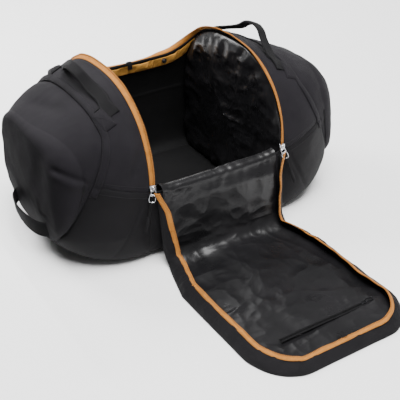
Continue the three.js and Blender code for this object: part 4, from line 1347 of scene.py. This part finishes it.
def add_flap_rim():
    """Cloth rim round the flap, the zip tape on its upper edge and the teeth."""
    outline, inward = flap_outline()
    length, x = outline.T
    sideways = np.abs(inward[:, 1])
    base = flap_point(length, x, 0.0)
    grow = between(length, [(0.006, 0.25), (0.060, 0.50), (RISER_DROP, 1.0)]) * (0.80 + 0.20 * sideways)
    grow = grow * (1 - 0.18 * bell(length - FOOT_MIDDLE, 0.022))
    lean = np.radians(26 + 12 * sideways)
    lean += 0.10 * smooth_noise(base, 0.09, 141) + 0.05 * smooth_noise(base, 0.035, 142)

    def at(reach, lift, past=0.0):
        """A point of the rim: reach up its slope, past beyond its top edge and lift square to it."""
        along = (reach * grow + past) * np.cos(lean) - lift * np.sin(lean)
        up = np.maximum(0.0005 + (reach * grow + past) * np.sin(lean) + lift * np.cos(lean), 0.0004)
        return flap_point(length + inward[:, 0] * along, x + inward[:, 1] * along, up)

    profile = [(0.012, -0.0035), (0.004, -0.0030), (0.0005, -0.0012), (-0.0012, 0.0010), (-0.0012, 0.0030),
               (0.001, 0.0052)]
    for reach in np.linspace(0.004, 0.0335, 13):
        profile.append((reach, 0.0062 + 0.0016 * math.sin(math.pi * (reach - 0.004) / 0.030)))
    rows = np.array([at(reach, lift) for reach, lift in profile])
    weight = np.clip(np.array([reach for reach, _ in profile]) / 0.012, 0, 1)[:, None]
    bump = 0.0024 * folds(rows, 0.045, 151, 3) + 0.0022 * crumple(rows, 0.040, 155, 3)
    rows = lifted(rows, bump * weight, (0, -0.42, 0.02))
    rows[..., 2] = np.maximum(rows[..., 2], 0.0006)
    # The rim is drawn in the darker base cloth as painted shade; its own cloth is the outer cloth.
    flap_pieces("flap_rim", rows, length, [BASE_AND_RIM_SHADE, LINING], RIM_SIDE, "outer_cloth", {}, 0.0012,
                lambda piece, first, last: piece)

    wide = between(length, [(0.05, 0.0115), (RISER_DROP, 0.0100), (RISER_DROP + 0.05, 0.0090)])
    v = np.linspace(0, 1, 9)
    tape = np.array([at(0.0310, 0.0080 + 0.0010 * math.sin(math.pi * share), wide * share) for share in v])
    drawn = np.stack([np.sign(x), np.ones_like(x), np.ones_like(x)], -1) * TAPE_START
    tape = tape + drawn * ease(1 - length / 0.055)[:, None]
    ripple = 0.0016 * smooth_noise(tape, 0.028, 161) + 0.0012 * smooth_noise(tape, 0.06, 162)
    tape = lifted(tape, ripple * (0.3 + 0.7 * v)[:, None], RIM_SIDE)
    nodes = {k: (f"{part}_left_zip_tape", f"{part}_right_zip_tape")
             for k, part in enumerate(("flap_riser", "mat_rear", "mat_middle"))}
    nodes[3] = ("mat_front_zip_tape",)
    flap_pieces("flap_tape", tape, length, TAPE, RIM_SIDE, "zip_tape", nodes, 0.0010)
    normals = outward(tape, RIM_SIDE)
    for run, (part, first, last) in enumerate(runs(length)):
        line, ups, bend = tape[:, first:last], normals[:, first:last], BEND[part]
        add_teeth(f"flap_teeth_{run}", line[-1], ups[-1], bend)
        add_stitches(f"flap_tape_stitch_{run}", line[2], ups[2], bend, "zip_tape", 0.0005, AMBER_THREAD)


def add_flap_pocket():
    """The flap's own pocket zip, its slider and the loop on the far edge."""
    low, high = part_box("flap_pocket_zip")
    y = (low.y + high.y) / 2
    x = np.linspace(low.x, high.x, 161)
    v = np.linspace(-1, 1, 9)[:, None]
    length = mat_length(y) + v * 0.0062
    wave = 0.0012 * smooth_noise(flap_point(length, x, 0.0), 0.05, 181)
    rows = flap_point(length, x, 0.0125 + wave - 0.0006 * np.abs(v) ** 3)
    strip = sheet("flap_pocket_strip", rows, BINDING, (0, y, -0.3), 0.0008)
    finish_piece(strip, "mat_front", "binding", "flap_pocket_zip")
    ups, tooth = np.tile((0, 0, 1.0), (len(x), 1)), (0.0015, 0.0040, 0.0016)
    coil = row_of_beads("flap_pocket_coil", rows[4] + ups * 0.0006, ups, 0.0024, tooth, BINDING)
    finish_piece(coil, "mat_front", "binding")
    for k in (1, 7):
        add_stitches(f"flap_pocket_stitch_{k}", rows[k], ups, "mat_front", "binding")

    low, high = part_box("flap_pocket_slider")
    top, edge = 0.0138, 0.0008
    start, end = (low.x, low.y + edge, top), (high.x, high.y - edge, top + 0.0026)
    plate = rounded_block("flap_slider_plate", start, end, BLACK_METAL)
    finish_piece(plate, "flap_pocket_slider", "snap", "flap_pocket_slider")
    ring = square_loop((high.x + 0.0085, y, top + 0.0030), (1, 0, -0.05), (0, 1, 0), 0.021, 0.0080)
    finish_piece(wire("flap_slider_pull", ring, 0.0010, BLACK_METAL), "flap_pocket_slider", "snap")

    low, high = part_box("flap_tab")
    bends = [(0, high.y + 0.0035, 0.0230), (0, high.y - 0.0010, 0.0262), (0, low.y - 0.0030, 0.0258),
             (0, low.y - 0.0080, 0.0220), (0, low.y - 0.0090, 0.0180)]
    tab = strap("flap_tab_loop", smooth_path(bends, 24), ACROSS, 0.012, 0.0018, WEBBING)
    finish_piece(tab, "mat_front", "binding", "flap_tab")


# ------------------------------------------------------------------ everything together
def build():
    add_camera()
    add_studio()
    add_centre()
    for name, side in SIDES:
        cloth = dress_end(name, side)
        add_opening_edge(name, side)
        add_rear_corner(name, side)
        add_facing(name, side)
        add_top_handle(name, side, cloth)
        add_end_strap(name, side)
        add_main_slider(name, side)
        add_pocket_slider(name)
    add_flap_underside()
    add_flap_liner()
    add_flap_rim()
    add_flap_pocket()


build()
